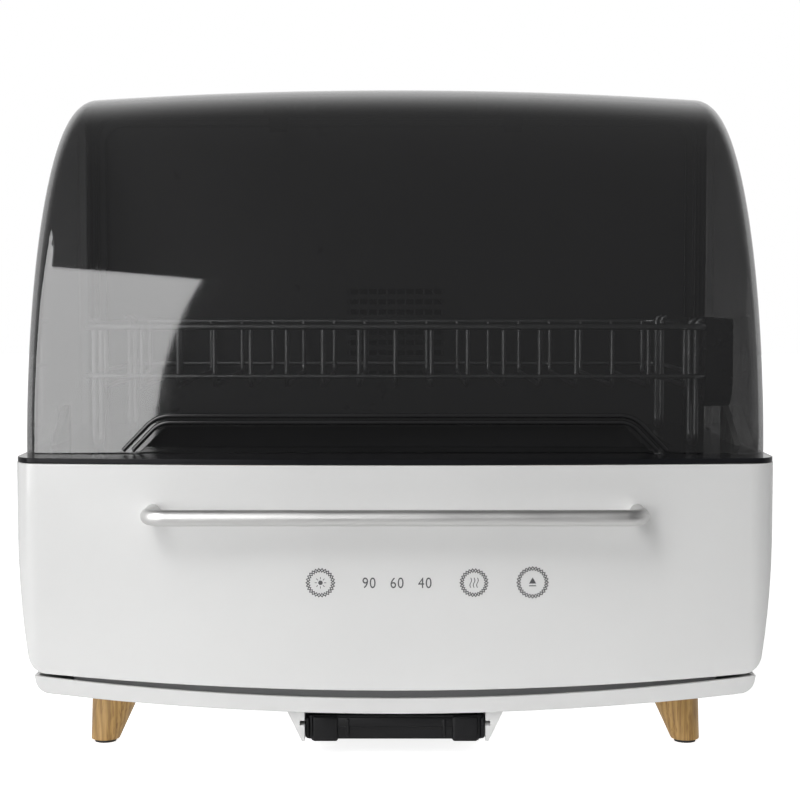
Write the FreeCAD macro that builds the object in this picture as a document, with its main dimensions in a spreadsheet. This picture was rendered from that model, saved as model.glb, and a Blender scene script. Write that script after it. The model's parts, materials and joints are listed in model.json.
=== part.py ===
import FreeCAD, Part

# Countertop dish sterilizer cabinet: smoked bread-bin lid, pull-out drawer, wooden feet.

import math
import os
import re

import Sketcher

os.makedirs("parts", exist_ok=True)
doc = FreeCAD.newDocument("DishSterilizerCabinet")

# Driving dimensions in millimetres. Depths run back from the foremost line of the bowed front,
# heights run up from the surface that the feet stand on.
sizes = {
    # Cabinet envelope
    "cabinet_width": 480.0,
    "cabinet_depth": 350.0,
    "cabinet_height": 448.0,
    "bow_radius": 2215.0,
    "corner_radius": 18.0,
    "rear_corner_radius": 15.0,
    "side_curve_radius": 610.0,
    "side_curve_start": 165.0,
    "shell_wall": 3.0,
    "seam": 0.6,
    "touch_clearance": 0.3,
    # Base pan
    "pan_bottom": 30.5,
    "pan_bottom_rise": 11.0,
    "pan_corner": 10.0,
    "pan_top": 40.4,
    "pan_top_rise": 12.0,
    "pan_inset": 1.5,
    "pan_wall": 2.5,
    "floor_flange": 20.0,
    # Feet
    "foot_outer_face": 199.3,
    "foot_setback": 46.0,
    "foot_bottom_radius": 9.2,
    "foot_top_radius": 19.0,
    "foot_top": 45.0,
    "foot_pad_height": 2.0,
    "foot_pad_radius": 7.0,
    "foot_screw_radius": 2.0,
    "foot_screw_length": 24.0,
    # Drawer front
    "front_bottom": 45.5,
    "front_bottom_rise": 9.0,
    "front_corner": 13.0,
    "front_depth": 36.0,
    "front_top_gap": 0.5,
    "inner_front_wall": 3.0,
    # Drawer box and runners
    "drawer_width": 406.0,
    "drawer_back": 238.0,
    "drawer_floor": 58.0,
    "drawer_top": 150.0,
    "drawer_wall": 2.0,
    "drawer_corner": 8.0,
    "rail_bottom": 92.0,
    "rail_height": 20.0,
    "rail_back": 268.0,
    "runner_height": 11.2,
    "runner_width": 11.0,
    "runner_clearance": 0.4,
    # Handle
    "handle_diameter": 10.0,
    "handle_standoff": 25.0,
    "handle_length": 312.0,
    "handle_height": 157.0,
    "handle_bend": 11.0,
    "handle_screw_radius": 2.5,
    "handle_screw_length": 14.0,
    # Touch keys and their board
    "key_height": 113.3,
    "key_pitch": 17.4,
    "key_ring_offset": 47.8,
    "key_end_offset": 85.4,
    "key_pad_radius": 5.0,
    "board_length": 220.0,
    "board_height": 44.0,
    "board_thickness": 1.6,
    "board_depth": 9.0,
    "board_post_radius": 3.0,
    "chip_height": 3.0,
    "chip_size": 16.0,
    "driver_width": 28.0,
    "driver_height": 10.0,
    # Black deck with its basin
    "deck_height": 190.0,
    "deck_thickness": 3.0,
    "deck_inset": 0.4,
    "basin_width": 376.0,
    "basin_front": 84.0,
    "basin_back": 268.0,
    "basin_floor": 172.0,
    "basin_wall": 2.5,
    "basin_corner": 20.0,
    "drain_depth": 254.0,
    "drain_radius": 6.5,
    "spout_radius": 8.5,
    "spout_end": 27.6,
    # Drip tray and its housing
    "housing_front": 8.0,
    "housing_back": 265.0,
    "housing_top_width": 136.0,
    "housing_bottom_width": 117.6,
    "housing_bottom": 11.5,
    "tray_width": 113.0,
    "tray_front": 14.0,
    "tray_back": 259.0,
    "tray_bottom": 11.5,
    "tray_top": 26.5,
    "tray_wall": 1.8,
    "tray_clearance": 0.5,
    "tray_flange": 3.0,
    "tray_flange_height": 22.0,
    "tray_flange_thickness": 2.0,
    "tray_lobe": 1.5,
    "tray_lobe_width": 16.0,
    "tray_lobe_length": 12.0,
    "tray_corner": 4.0,
    # Lid
    "lid_width": 479.0,
    "lid_front": 43.0,
    "lid_back": 278.0,
    "lid_crest": 290.0,
    "lid_wall": 3.0,
    "lid_gap": 0.5,
    "lid_edge_radius": 14.0,
    "crown_radius": 3450.0,
    "grip_bottom_width": 330.0,
    "grip_top_width": 292.0,
    "grip_height": 19.0,
    "grip_depth": 7.0,
    # Hinge
    "hinge_gap": 3.2,
    "hinge_setback": 12.0,
    "hinge_drop": 11.0,
    "hinge_offset": 90.0,
    "hinge_arm_width": 13.4,
    "hinge_arm_thickness": 9.0,
    "hinge_barrel_radius": 5.0,
    "hinge_pin_radius": 2.5,
    "hinge_pin_clearance": 0.05,
    "hinge_bracket_wall": 5.0,
    "arm_clearance": 5.5,
    "arm_drop": 12.0,
    "arm_toe_drop": 21.0,
    "arm_inner_drop": 14.5,
    # Rear housing
    "rear_panel_depth": 300.0,
    "rear_panel_wall": 3.0,
    "panel_border": 4.0,
    "panel_border_side": 4.5,
    "panel_border_top": 20.0,
    "panel_corner": 16.0,
    "cover_width": 340.0,
    "cover_bottom": 205.0,
    "cover_top": 400.0,
    "cover_flange": 8.0,
    "cover_flange_wall": 2.5,
    "cover_corner": 12.0,
    "standoff_radius": 4.0,
    "cover_screw_radius": 1.5,
    "cover_screw_head": 3.0,
    "cover_screw_length": 16.0,
    # Warm-air unit
    "fan_height": 262.0,
    "fan_size": 92.0,
    "fan_thickness": 25.0,
    "fan_bore_radius": 43.0,
    "fan_tip_clearance": 1.0,
    "fan_hub_radius": 17.0,
    "fan_hub_length": 14.0,
    "fan_blades": 7,
    "blade_reach": 6.5,
    "blade_thickness": 1.8,
    "blade_margin": 0.5,
    "strut_width": 5.0,
    "strut_thickness": 3.0,
    "fan_shaft_radius": 2.0,
    "fan_shaft_clearance": 0.05,
    "fan_motor_radius": 15.0,
    "fan_motor_length": 7.0,
    "heater_width": 100.0,
    "heater_height": 90.0,
    "heater_thickness": 14.0,
    "heater_wall": 6.0,
    "heater_fin": 1.2,
    "heater_fins": 11,
    "grille_slots": 9,
    "grille_slot": 4.0,
    "grille_pitch": 8.0,
    "grille_width": 76.0,
    # Electrics
    "supply_board_width": 84.0,
    "supply_board_height": 104.0,
    "supply_board_offset": 78.0,
    "supply_board_bottom": 222.0,
    "supply_post_height": 4.0,
    "supply_post_radius": 2.5,
    "supply_post_inset": 5.0,
    "part_inset": 10.0,
    "transformer_width": 32.0,
    "transformer_height": 28.0,
    "transformer_depth": 22.0,
    "relay_width": 16.0,
    "relay_height": 26.0,
    "relay_depth": 18.0,
    "capacitor_radius": 8.0,
    "capacitor_pitch": 26.0,
    "inlet_width": 22.0,
    "inlet_height": 13.0,
    "inlet_offset": 140.0,
    "inlet_bottom": 222.0,
    "inlet_length": 16.0,
    "inlet_wall": 2.0,
    "inlet_floor": 3.0,
    "inlet_pin_radius": 1.2,
    "inlet_pin_pitch": 8.0,
    "lamp_length": 120.0,
    "lamp_radius": 4.0,
    "lamp_holder_wall": 1.5,
    "lamp_holder_height": 12.0,
    # Wire rack
    "rack_width": 412.0,
    "rack_front": 70.0,
    "rack_back": 284.0,
    "rack_rim_height": 271.0,
    "rack_floor_height": 238.5,
    "rack_corner": 12.0,
    "rim_wire": 4.0,
    "grid_wire": 3.0,
    "grid_wires": 17,
    "grid_pitch": 23.8,
    "grid_bend": 5.0,
    "grid_drop": 6.0,
    "leg_setback": 16.0,
    "leg_length": 26.0,
    "weld_gap": 0.1,
    "leg_bend": 8.0,
    # Ribs on the deck that centre the closing lid
    "guide_front": 104.0,
    "guide_back": 160.0,
    "guide_height": 24.0,
    "guide_foot": 10.0,
    "guide_thickness": 4.0,
    "guide_clearance": 2.5,
    # Cutlery basket
    "basket_front": 84.0,
    "basket_back": 186.0,
    "basket_width": 18.0,
    "basket_bottom": 217.0,
    "basket_top": 276.0,
    "basket_wall": 1.6,
    "basket_corner": 18.0,
    "basket_hook": 40.0,
    "basket_slots": 6,
    "basket_slot": 4.0,
    "basket_slot_margin": 14.0,
}

sheet = doc.addObject("Spreadsheet::Sheet", "Sizes")
for row, (alias, number) in enumerate(sizes.items(), 1):
    sheet.set(f"A{row}", alias)
    sheet.set(f"B{row}", str(number))
    sheet.setAlias(f"B{row}", alias)
doc.recompute()

alias_words = re.compile(r"\b(" + "|".join(sizes) + r")\b")
pieces = []


def formula(text):
    """The text as an expression of the sheet's cells."""
    return alias_words.sub(r"Sizes.\1", str(text))


def value(text):
    """The number that a formula gives now."""
    return float(sheet.evalExpression(formula(text)))


def bind(item, prop, text):
    item.setExpression(prop, formula(text))


def place(item, x, y, z):
    for letter, text in zip("xyz", (x, y, z)):
        bind(item, f"Placement.Base.{letter}", text)
    return item


def keep(item, label):
    """Make the object a piece of the product, with its own label."""
    item.Label = label
    pieces.append(item)
    return item


# Primitives and booleans

def box(name, x, y, z):
    """A box between the low and high ends given for each axis."""
    item = doc.addObject("Part::Box", name)
    for prop, (low, high) in zip(("Length", "Width", "Height"), (x, y, z)):
        bind(item, prop, f"({high}) - ({low})")
    return place(item, x[0], y[0], z[0])


turns = {
    "x": FreeCAD.Rotation(FreeCAD.Vector(0, 1, 0), 90),
    "y": FreeCAD.Rotation(FreeCAD.Vector(1, 0, 0), -90),
    "z": FreeCAD.Rotation(),
}


def rod(name, axis, start, length, radius):
    """A round bar that runs along the axis from its start point."""
    item = doc.addObject("Part::Cylinder", name)
    item.Placement.Rotation = turns[axis]
    bind(item, "Height", length)
    bind(item, "Radius", radius)
    return place(item, *start)


def cut(name, base, *tools):
    item = doc.addObject("Part::Cut", name)
    item.Base = base
    item.Tool = tools[0] if len(tools) == 1 else fuse(name + "_tools", *tools)
    return item


def fuse(name, *shapes):
    item = doc.addObject("Part::MultiFuse", name)
    item.Shapes = list(shapes)
    return item


def common(name, base, tool):
    item = doc.addObject("Part::Common", name)
    item.Base = base
    item.Tool = tool
    return item


def group(name, *shapes):
    """Separate solids kept together in one object."""
    item = doc.addObject("Part::Compound", name)
    item.Links = list(shapes)
    return item


def round_edges(name, base, radius, chosen):
    """Round the edges of the base for which chosen(edge) is true."""
    doc.recompute()
    item = doc.addObject("Part::Fillet", name)
    item.Base = base
    size = value(radius)
    item.Edges = [(i, size, size) for i, edge in enumerate(base.Shape.Edges, 1) if chosen(edge)]
    return item


def middle(edge):
    return edge.valueAt((edge.FirstParameter + edge.LastParameter) / 2)


def mirrored(name, source):
    """The same piece on the other side of the middle plane."""
    item = doc.addObject("Part::Mirroring", name)
    item.Source = source
    item.Normal = FreeCAD.Vector(1, 0, 0)
    return item


# Bodies with sketches

def new_body(name):
    body = doc.addObject("PartDesign::Body", name)
    body.AllowCompound = True
    return body


def sketch_on(body, role, offset, loops):
    """A sketch on one of the body's own planes, moved along the plane's normal."""
    sketch = body.newObject("Sketcher::SketchObject", f"{body.Name}_sketch")
    plane = next(part for part in body.Origin.OriginFeatures if part.Role == role)
    sketch.AttachmentSupport = [(plane, "")]
    sketch.MapMode = "FlatFace"
    sign = -1 if role == "XZ_Plane" else 1
    bind(sketch, "AttachmentOffset.Base.z", f"{sign} * ({offset})")
    for loop in loops:
        if loop[0] == "circle":
            draw_circle(sketch, *loop[1:])
        else:
            draw_loop(sketch, loop)
    return sketch


def fix_point(sketch, edge, end, x, y):
    for kind, text in (("DistanceX", x), ("DistanceY", y)):
        number = sketch.addConstraint(Sketcher.Constraint(kind, -1, 1, edge, end, value(text)))
        bind(sketch, f"Constraints[{number}]", text)


def draw_circle(sketch, x, y, radius):
    center = FreeCAD.Vector(value(x), value(y), 0)
    normal = FreeCAD.Vector(0, 0, 1)
    edge = sketch.addGeometry(Part.Circle(center, normal, value(radius)))
    fix_point(sketch, edge, 3, x, y)
    number = sketch.addConstraint(Sketcher.Constraint("Radius", edge, value(radius)))
    bind(sketch, f"Constraints[{number}]", radius)


def arc_between(start, end, radius, turn):
    """The arc shorter than half a circle, bending left for turn 1 and right for turn -1."""
    chord = end - start
    left = FreeCAD.Vector(-chord.y, chord.x, 0).normalize()
    height = math.sqrt(max(radius ** 2 - (chord.Length / 2) ** 2, 0))
    center = (start + end) / 2 + left * height * turn
    first, last = (start, end) if turn > 0 else (end, start)
    angles = [math.atan2(p.y - center.y, p.x - center.x) for p in (first, last)]
    circle = Part.Circle(center, FreeCAD.Vector(0, 0, 1), radius)
    return Part.ArcOfCircle(circle, angles[0], angles[1])


def draw_loop(sketch, loop, closed=True):
    """Lines and arcs through the corners. A corner with a radius starts an arc to the next one."""
    points = [FreeCAD.Vector(value(corner[0]), value(corner[1]), 0) for corner in loop]
    count = len(loop) if closed else len(loop) - 1
    edges = []
    for i in range(count):
        start, end = points[i], points[(i + 1) % len(points)]
        if len(loop[i]) > 2:
            turn = loop[i][3] if len(loop[i]) > 3 else 1
            edge = sketch.addGeometry(arc_between(start, end, value(loop[i][2]), turn))
            number = sketch.addConstraint(Sketcher.Constraint("Radius", edge, value(loop[i][2])))
            bind(sketch, f"Constraints[{number}]", loop[i][2])
            edges.append((edge, 1, 2) if turn > 0 else (edge, 2, 1))
        else:
            edges.append((sketch.addGeometry(Part.LineSegment(start, end)), 1, 2))
    for i, (edge, first, last) in enumerate(edges):
        fix_point(sketch, edge, first, loop[i][0], loop[i][1])
        if closed or i + 1 < count:
            after = edges[(i + 1) % count]
            sketch.addConstraint(Sketcher.Constraint("Coincident", edge, last, after[0], after[1]))
        else:
            fix_point(sketch, edge, last, loop[-1][0], loop[-1][1])


def rectangle(x, y):
    return [(x[0], y[0]), (x[1], y[0]), (x[1], y[1]), (x[0], y[1])]


def rounded(x, y, radius):
    """A rectangle with round corners between the low and high ends."""
    (x0, x1), (y0, y1), r = x, y, radius
    return [
        (f"{x0} + {r}", y0), (f"{x1} - {r}", y0, r), (x1, f"{y0} + {r}"), (x1, f"{y1} - {r}", r),
        (f"{x1} - {r}", y1), (f"{x0} + {r}", y1, r), (x0, f"{y1} - {r}"), (x0, f"{y0} + {r}", r),
    ]


def extrude(body, kind, role, low, high, *loops):
    """Pad or pocket the loops between two places along the plane's normal."""
    before = body.Shape.Volume if body.Tip else 0
    start = high if role == "XZ_Plane" else low
    sketch = sketch_on(body, role, start, loops)
    feature = body.newObject(f"PartDesign::{kind}", f"{body.Name}_{kind}")
    feature.Profile = sketch
    bind(feature, "Length", f"({high}) - ({low})")
    if kind == "Pocket":
        feature.Reversed = True
    doc.recompute()
    if kind == "Pocket" and body.Shape.Volume >= before:
        raise RuntimeError(f"{feature.Label} removes nothing")
    return feature


def prism(name, role, low, high, *loops):
    body = new_body(name)
    extrude(body, "Pad", role, low, high, *loops)
    return body


def bent_wire(body, role, offset, path, across, start, center, radius, closed=False):
    """Sweep a round section, drawn on the plane across the path's start, along lines and arcs."""
    spine = body.newObject("Sketcher::SketchObject", f"{body.Name}_path")
    plane = next(part for part in body.Origin.OriginFeatures if part.Role == role)
    spine.AttachmentSupport = [(plane, "")]
    spine.MapMode = "FlatFace"
    sign = -1 if role == "XZ_Plane" else 1
    bind(spine, "AttachmentOffset.Base.z", f"{sign} * ({offset})")
    draw_loop(spine, path, closed)
    section = sketch_on(body, across, start, [("circle", *center, radius)])
    pipe = body.newObject("PartDesign::AdditivePipe", f"{body.Name}_pipe")
    pipe.Profile = section
    pipe.Spine = spine
    doc.recompute()
    return pipe


# Shared places

half_width = "(cabinet_width / 2)"
front = "((handle_standoff + handle_diameter / 2 - cabinet_depth) / 2)"
back = f"({front} + cabinet_depth)"
front_top = "(deck_height - deck_thickness - front_top_gap)"
deck_under = "(deck_height - deck_thickness)"
lid_bottom = "(deck_height + lid_gap)"
rear_front = f"({front} + lid_back + hinge_gap)"
hinge_y = f"({front} + lid_back + hinge_setback)"
hinge_z = "(cabinet_height - hinge_drop)"
panel_back = f"({front} + rear_panel_depth + rear_panel_wall)"


def depth(text):
    """The place along Y that lies this far behind the foremost line of the front."""
    return f"({front} + {text})"


def plan_loop(inset):
    """The outline from above: a bowed front, two round front corners and two round rear ones."""
    side = f"({half_width} - {inset})"
    bow = f"(bow_radius - {inset})"
    corner = f"(corner_radius - {inset})"
    rear = f"(rear_corner_radius - {inset})"
    rear_y = f"({back} - {inset})"
    reach = f"sqrt(({bow} - {corner})^2 - ({side} - {corner})^2)"
    center_y = f"({front} + {inset} + {bow} - {reach})"
    bow_x = f"(({side} - {corner}) * {bow} / ({bow} - {corner}))"
    bow_y = f"({front} + {inset} + {bow} - {reach} * {bow} / ({bow} - {corner}))"
    return [
        (f"-{bow_x}", bow_y, bow), (bow_x, bow_y, corner), (side, center_y),
        (side, f"{rear_y} - {rear}", rear), (f"{side} - {rear}", rear_y),
        (f"-({side} - {rear})", rear_y, rear), (f"-{side}", f"{rear_y} - {rear}"),
        (f"-{side}", center_y, corner),
    ]


def side_at(inset, height):
    """Half the width at a height, on the side that curves in towards the base."""
    curve = f"(side_curve_radius - {inset})"
    return (f"({half_width} - side_curve_radius + "
            f"sqrt({curve}^2 - (side_curve_start - ({height}))^2))")


def bottom_arc(end, rise):
    """Radius of the arc that rises by this much at its two ends."""
    return f"(({end}^2 + ({rise})^2) / (2 * ({rise})))"


def casing_loop(inset, top, bottom, rise):
    """The outline from the front, down from a level top to a gently curved bottom."""
    side = f"({half_width} - {inset})"
    curve = f"(side_curve_radius - {inset})"
    low = f"({bottom} + {rise})"
    end = side_at(inset, low)
    return [
        (f"-{end}", low, bottom_arc(end, rise)), (end, low, curve), (side, "side_curve_start"),
        (side, top), (f"-{side}", top), (f"-{side}", "side_curve_start", curve),
    ]


def casing(name, inset, top, bottom, rise, corner):
    """The casing's solid inside its outline from the front and its outline from above."""
    elevation = prism(f"{name}_elevation", "XZ_Plane", f"{front} - 5", f"{back} + 5",
                      casing_loop(inset, top, bottom, rise))
    if corner:
        low = value(f"{bottom} + {rise}")
        elevation = round_edges(f"{name}_rounded", elevation, corner,
                                lambda edge: abs(middle(edge).z - low) < 0.01
                                and abs(middle(edge).x) > 1
                                and edge.Curve.TypeId == "Part::GeomLine")
    plan = prism(f"{name}_plan", "XY_Plane", f"{bottom} - 1", f"{top} + 1", plan_loop(inset))
    return common(name, elevation, plan)


# Body shell: two sides, a back and a floor flange

shell_solid = casing("shell_solid", "0", deck_under, "pan_top", "pan_top_rise", None)
shell_inside = casing("shell_inside", "shell_wall", f"({deck_under} + 2)", "(pan_top + shell_wall)",
                      "pan_top_rise", None)
wide = (f"-{half_width} - 5", f"{half_width} + 5")
shell_front_cut = box("shell_front_cut", wide, (depth("-5"), depth("front_depth + seam")),
                      ("0", "cabinet_height"))
floor_opening = box("floor_opening",
                    (f"-{half_width} + shell_wall + floor_flange",
                     f"{half_width} - shell_wall - floor_flange"),
                    (depth("0"), f"{back} - shell_wall - floor_flange"), ("0", "drawer_floor"))
body_shell = keep(cut("body_shell", shell_solid, shell_inside, shell_front_cut, floor_opening),
                  "body_shell")


# Base pan

def pan_loop(inset, bottom, top_raise):
    """A shallow tray's outline from the front, curved below and above."""
    low = f"({bottom} + pan_bottom_rise)"
    high = f"(pan_top + pan_top_rise + {top_raise})"
    end, lip = side_at(inset, low), side_at(inset, high)
    curve = f"(side_curve_radius - {inset})"
    return [
        (f"-{end}", low, bottom_arc(end, "pan_bottom_rise")), (end, low, curve),
        (lip, high, bottom_arc(lip, "pan_top_rise"), -1), (f"-{lip}", high, curve),
    ]


def pan_solid(name, inset, bottom, top_raise, corner):
    elevation = prism(f"{name}_elevation", "XZ_Plane", f"{front} - 5", f"{back} + 5",
                      pan_loop(inset, bottom, top_raise))
    low = value(f"{bottom} + pan_bottom_rise")
    elevation = round_edges(f"{name}_rounded", elevation, corner,
                            lambda edge: abs(middle(edge).z - low) < 0.01
                            and edge.Curve.TypeId == "Part::GeomLine")
    plan = prism(f"{name}_plan", "XY_Plane", "0", "deck_height", plan_loop(inset))
    return common(name, elevation, plan)


foot_middle_x = "(foot_outer_face - (foot_bottom_radius + foot_top_radius) / 2)"
foot_middle_y = "(foot_setback + (foot_bottom_radius + foot_top_radius) / 2)"
feet = {
    "front_left": (-1, depth(foot_middle_y)),
    "front_right": (1, depth(foot_middle_y)),
    "rear_left": (-1, f"({back} - {foot_middle_y})"),
    "rear_right": (1, f"({back} - {foot_middle_y})"),
}

pan_outside = pan_solid("pan_outside", "pan_inset", "pan_bottom", "(-touch_clearance)",
                        "pan_corner")
pan_inside = pan_solid("pan_inside", "(pan_inset + pan_wall)", "(pan_bottom + pan_wall)", "5",
                       "(pan_corner - pan_wall)")
pan_holes = [rod(f"pan_hole_{name}", "z", (f"{side} * {foot_middle_x}", y, "0"), "deck_height",
                 "foot_screw_radius + touch_clearance") for name, (side, y) in feet.items()]
spout_hole = rod("spout_hole", "z", ("0", depth("drain_depth"), "0"), "deck_height",
                 "spout_radius + touch_clearance")
base_pan = keep(cut("base_pan", pan_outside, pan_inside, spout_hole, *pan_holes), "base_pan")


# Feet: tapered wooden legs, upright on their outer side, with a rubber pad and a screw

def foot(name, side, inward):
    """A tapered leg from its pad to the pan. Inward is the sign along Y towards the middle."""
    circles = []
    for level, height in (("bottom", "foot_pad_height"), ("top", "foot_top")):
        radius = f"foot_{level}_radius"
        circle = doc.addObject("Part::Circle", f"foot_{name}_{level}")
        bind(circle, "Radius", radius)
        edge_y = depth("foot_setback") if inward > 0 else f"({back} - foot_setback)"
        place(circle, f"{side} * (foot_outer_face - {radius})", f"{edge_y} + {inward} * {radius}",
              height)
        circles.append(circle)
    cone = doc.addObject("Part::Loft", f"foot_{name}_cone")
    cone.Sections = circles
    cone.Solid = True
    cone.Ruled = True
    bore = rod(f"foot_{name}_bore", "z",
               (f"{side} * {foot_middle_x}", feet[name][1],
                "foot_top - foot_screw_length - touch_clearance"),
               "foot_screw_length + 5", "foot_screw_radius + 0.05")
    return keep(cut(f"foot_{name}", cone, pan_outside, bore), f"foot_{name}")


for name, (side, y) in feet.items():
    foot(name, side, 1 if name.startswith("front") else -1)


def foot_bottom_y(name):
    if name.startswith("front"):
        return depth("(foot_setback + foot_bottom_radius)")
    return f"({back} - foot_setback - foot_bottom_radius)"


keep(group("foot_pads", *[
    rod(f"foot_pad_{name}", "z",
        (f"{side} * (foot_outer_face - foot_bottom_radius)", foot_bottom_y(name), "0"),
        "foot_pad_height", "foot_pad_radius") for name, (side, y) in feet.items()]), "foot_pads")


def foot_screw(name, side, y):
    """A screw that hangs from the pan's floor into the foot."""
    x = f"{side} * {foot_middle_x}"
    end = side_at("pan_inset", "pan_bottom + pan_bottom_rise")
    seat = (f"(pan_bottom + pan_wall + 2 * touch_clearance + "
            f"{foot_middle_x}^2 / (2 * {bottom_arc(end, 'pan_bottom_rise')}))")
    shank = rod(f"foot_screw_{name}_shank", "z", (x, y, "foot_top - foot_screw_length"),
                f"{seat} + 1 - foot_top + foot_screw_length", "foot_screw_radius")
    head = rod(f"foot_screw_{name}_head", "z", (x, y, seat), "foot_screw_radius * 1.2",
               "foot_screw_radius * 2")
    return fuse(f"foot_screw_{name}", shank, head)


keep(group("foot_screws", *[foot_screw(name, side, y) for name, (side, y) in feet.items()]),
     "foot_screws")


# Drip-tray housing under the pan, and the tray

groove = ("tray_width / 2 - 1", "tray_width / 2 + tray_flange + tray_clearance")
housing_top = "(pan_bottom + 6)"
housing_wall = [
    ("tray_width / 2 + tray_clearance", "housing_bottom"),
    ("housing_bottom_width / 2", "housing_bottom"),
    ("housing_top_width / 2", "pan_bottom"), ("housing_top_width / 2", housing_top),
    ("tray_width / 2 + tray_clearance", housing_top),
]
housing_left_wall = [(f"-({x})", z) for x, z in reversed(housing_wall)]
housing = new_body("housing")
extrude(housing, "Pad", "XZ_Plane", depth("housing_front"), depth("housing_back"), housing_wall)
extrude(housing, "Pad", "XZ_Plane", depth("housing_front"), depth("housing_back"),
        housing_left_wall)
extrude(housing, "Pad", "XZ_Plane", depth("housing_back - pan_wall"), depth("housing_back"),
        rectangle(("-tray_width / 2 - tray_clearance - 0.5", "tray_width / 2 + tray_clearance + 0.5"),
                  ("housing_bottom", housing_top)))
flange_z = ("tray_flange_height - tray_clearance",
            "tray_flange_height + tray_flange_thickness + tray_clearance")
extrude(housing, "Pocket", "XZ_Plane", depth("housing_front - 1"),
        depth("housing_back - pan_wall - 0.1"), rectangle(groove, flange_z))
extrude(housing, "Pocket", "XZ_Plane", depth("housing_front - 1"),
        depth("housing_back - pan_wall - 0.1"),
        rectangle((f"-({groove[1]})", f"-({groove[0]})"), flange_z))
tray_housing = keep(cut("tray_housing", housing, pan_outside), "tray_housing")

tray = new_body("drip_tray")
tray_x = ("-tray_width / 2", "tray_width / 2")
tray_y = (depth("tray_front"), depth("tray_back"))
extrude(tray, "Pad", "XY_Plane", "tray_bottom", "tray_top", rounded(tray_x, tray_y, "tray_corner"))
extrude(tray, "Pad", "XY_Plane", "tray_flange_height", "tray_flange_height + tray_flange_thickness",
        rectangle(("-tray_width / 2 - tray_flange", "tray_width / 2 + tray_flange"),
                  (depth("tray_front + 6"), depth("tray_back - 6"))))
for side in (-1, 1):
    extrude(tray, "Pad", "XY_Plane", "tray_bottom - tray_lobe", "tray_bottom + 0.5",
            rounded((f"{side} * tray_width * 0.4 - tray_lobe_width / 2",
                     f"{side} * tray_width * 0.4 + tray_lobe_width / 2"),
                    (depth("tray_front + 1"), depth("tray_front + 1 + tray_lobe_length")),
                    "(2 * tray_lobe)"))
extrude(tray, "Pocket", "XY_Plane", "tray_bottom + tray_wall", "tray_top",
        rounded((f"{tray_x[0]} + tray_wall", f"{tray_x[1]} - tray_wall"),
                (f"{tray_y[0]} + tray_wall", f"{tray_y[1]} - tray_wall"),
                "(tray_corner - tray_wall)"))
keep(tray, "drip_tray")


# Black deck with its basin and drain spout

deck = new_body("drain_tub")
basin_x = ("-basin_width / 2", "basin_width / 2")
basin_y = (depth("basin_front"), depth("basin_back"))
basin_outer_x = (f"{basin_x[0]} - basin_wall", f"{basin_x[1]} + basin_wall")
basin_outer_y = (f"{basin_y[0]} - basin_wall", f"{basin_y[1]} + basin_wall")
extrude(deck, "Pad", "XY_Plane", deck_under, "deck_height", plan_loop("deck_inset"))
extrude(deck, "Pad", "XY_Plane", "basin_floor", f"{deck_under} + 0.5",
        rounded(basin_outer_x, basin_outer_y, "(basin_corner + basin_wall)"))
extrude(deck, "Pocket", "XY_Plane", "basin_floor + basin_wall", "deck_height",
        rounded(basin_x, basin_y, "basin_corner"))
extrude(deck, "Pocket", "XY_Plane", "basin_floor", "basin_floor + basin_wall",
        ("circle", "0", depth("drain_depth"), "drain_radius"))
keep(deck, "drain_tub")

spout = rod("spout_outside", "z", ("0", depth("drain_depth"), "spout_end"),
            "basin_floor - spout_end", "spout_radius")
spout_bore = rod("spout_bore", "z", ("0", depth("drain_depth"), "spout_end - 1"),
                 "basin_floor - spout_end + 2", "drain_radius")
keep(cut("drain_spout", spout, spout_bore), "drain_spout")


# Drawer: the full-width front, its inner face, the box and the runners

front_solid = casing("front_solid", "0", front_top, "front_bottom", "front_bottom_rise",
                     "front_corner")
front_inside = casing("front_inside", "shell_wall", f"({front_top} - shell_wall)",
                      "(front_bottom + shell_wall)", "front_bottom_rise",
                      "(front_corner - shell_wall)")
front_depth_box = box("front_depth_box", wide, (depth("-5"), depth("front_depth")),
                      ("0", "cabinet_height"))
front_shell = cut("front_shell", front_solid, front_inside)
handle_x = "(handle_length / 2 - handle_diameter / 2)"
handle_holes = [rod(f"handle_hole_{side}", "y", (f"{side} * {handle_x}", depth("-5"),
                                                 "handle_height"),
                    "front_depth", "handle_screw_radius + touch_clearance") for side in (-1, 1)]
front_piece = common("front_piece", front_shell, front_depth_box)
keep(cut("drawer_front", front_piece, *handle_holes), "drawer_front")

inner_front_y = (depth("front_depth - inner_front_wall"), depth("front_depth"))
inner_box = box("inner_box", wide, inner_front_y, ("0", "cabinet_height"))
inner_plate = common("inner_plate", front_inside, inner_box)
board_posts = []
for side in (-1, 1):
    for level in (-1, 1):
        board_posts.append(rod(
            f"board_post_{side}_{level}", "y",
            (f"{side} * (board_length / 2 - board_post_radius * 2)",
             depth("board_depth + board_thickness"),
             f"key_height + {level} * (board_height / 2 - board_post_radius * 2)"),
            "front_depth - inner_front_wall - board_depth - board_thickness + 0.5",
            "board_post_radius"))
keep(fuse("drawer_inner_front", inner_plate, *board_posts), "drawer_inner_front")

drawer = new_body("drawer_box")
drawer_x = ("-drawer_width / 2", "drawer_width / 2")
drawer_y = (depth("front_depth"), depth("drawer_back"))
extrude(drawer, "Pad", "XY_Plane", "drawer_floor", "drawer_top",
        rounded(drawer_x, drawer_y, "drawer_corner"))
extrude(drawer, "Pocket", "XY_Plane", "drawer_floor + drawer_wall", "drawer_top",
        rounded((f"{drawer_x[0]} + drawer_wall", f"{drawer_x[1]} - drawer_wall"),
                (f"{drawer_y[0]} + drawer_wall", f"{drawer_y[1]} - drawer_wall"),
                "(drawer_corner - drawer_wall)"))
keep(drawer, "drawer_box")

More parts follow.
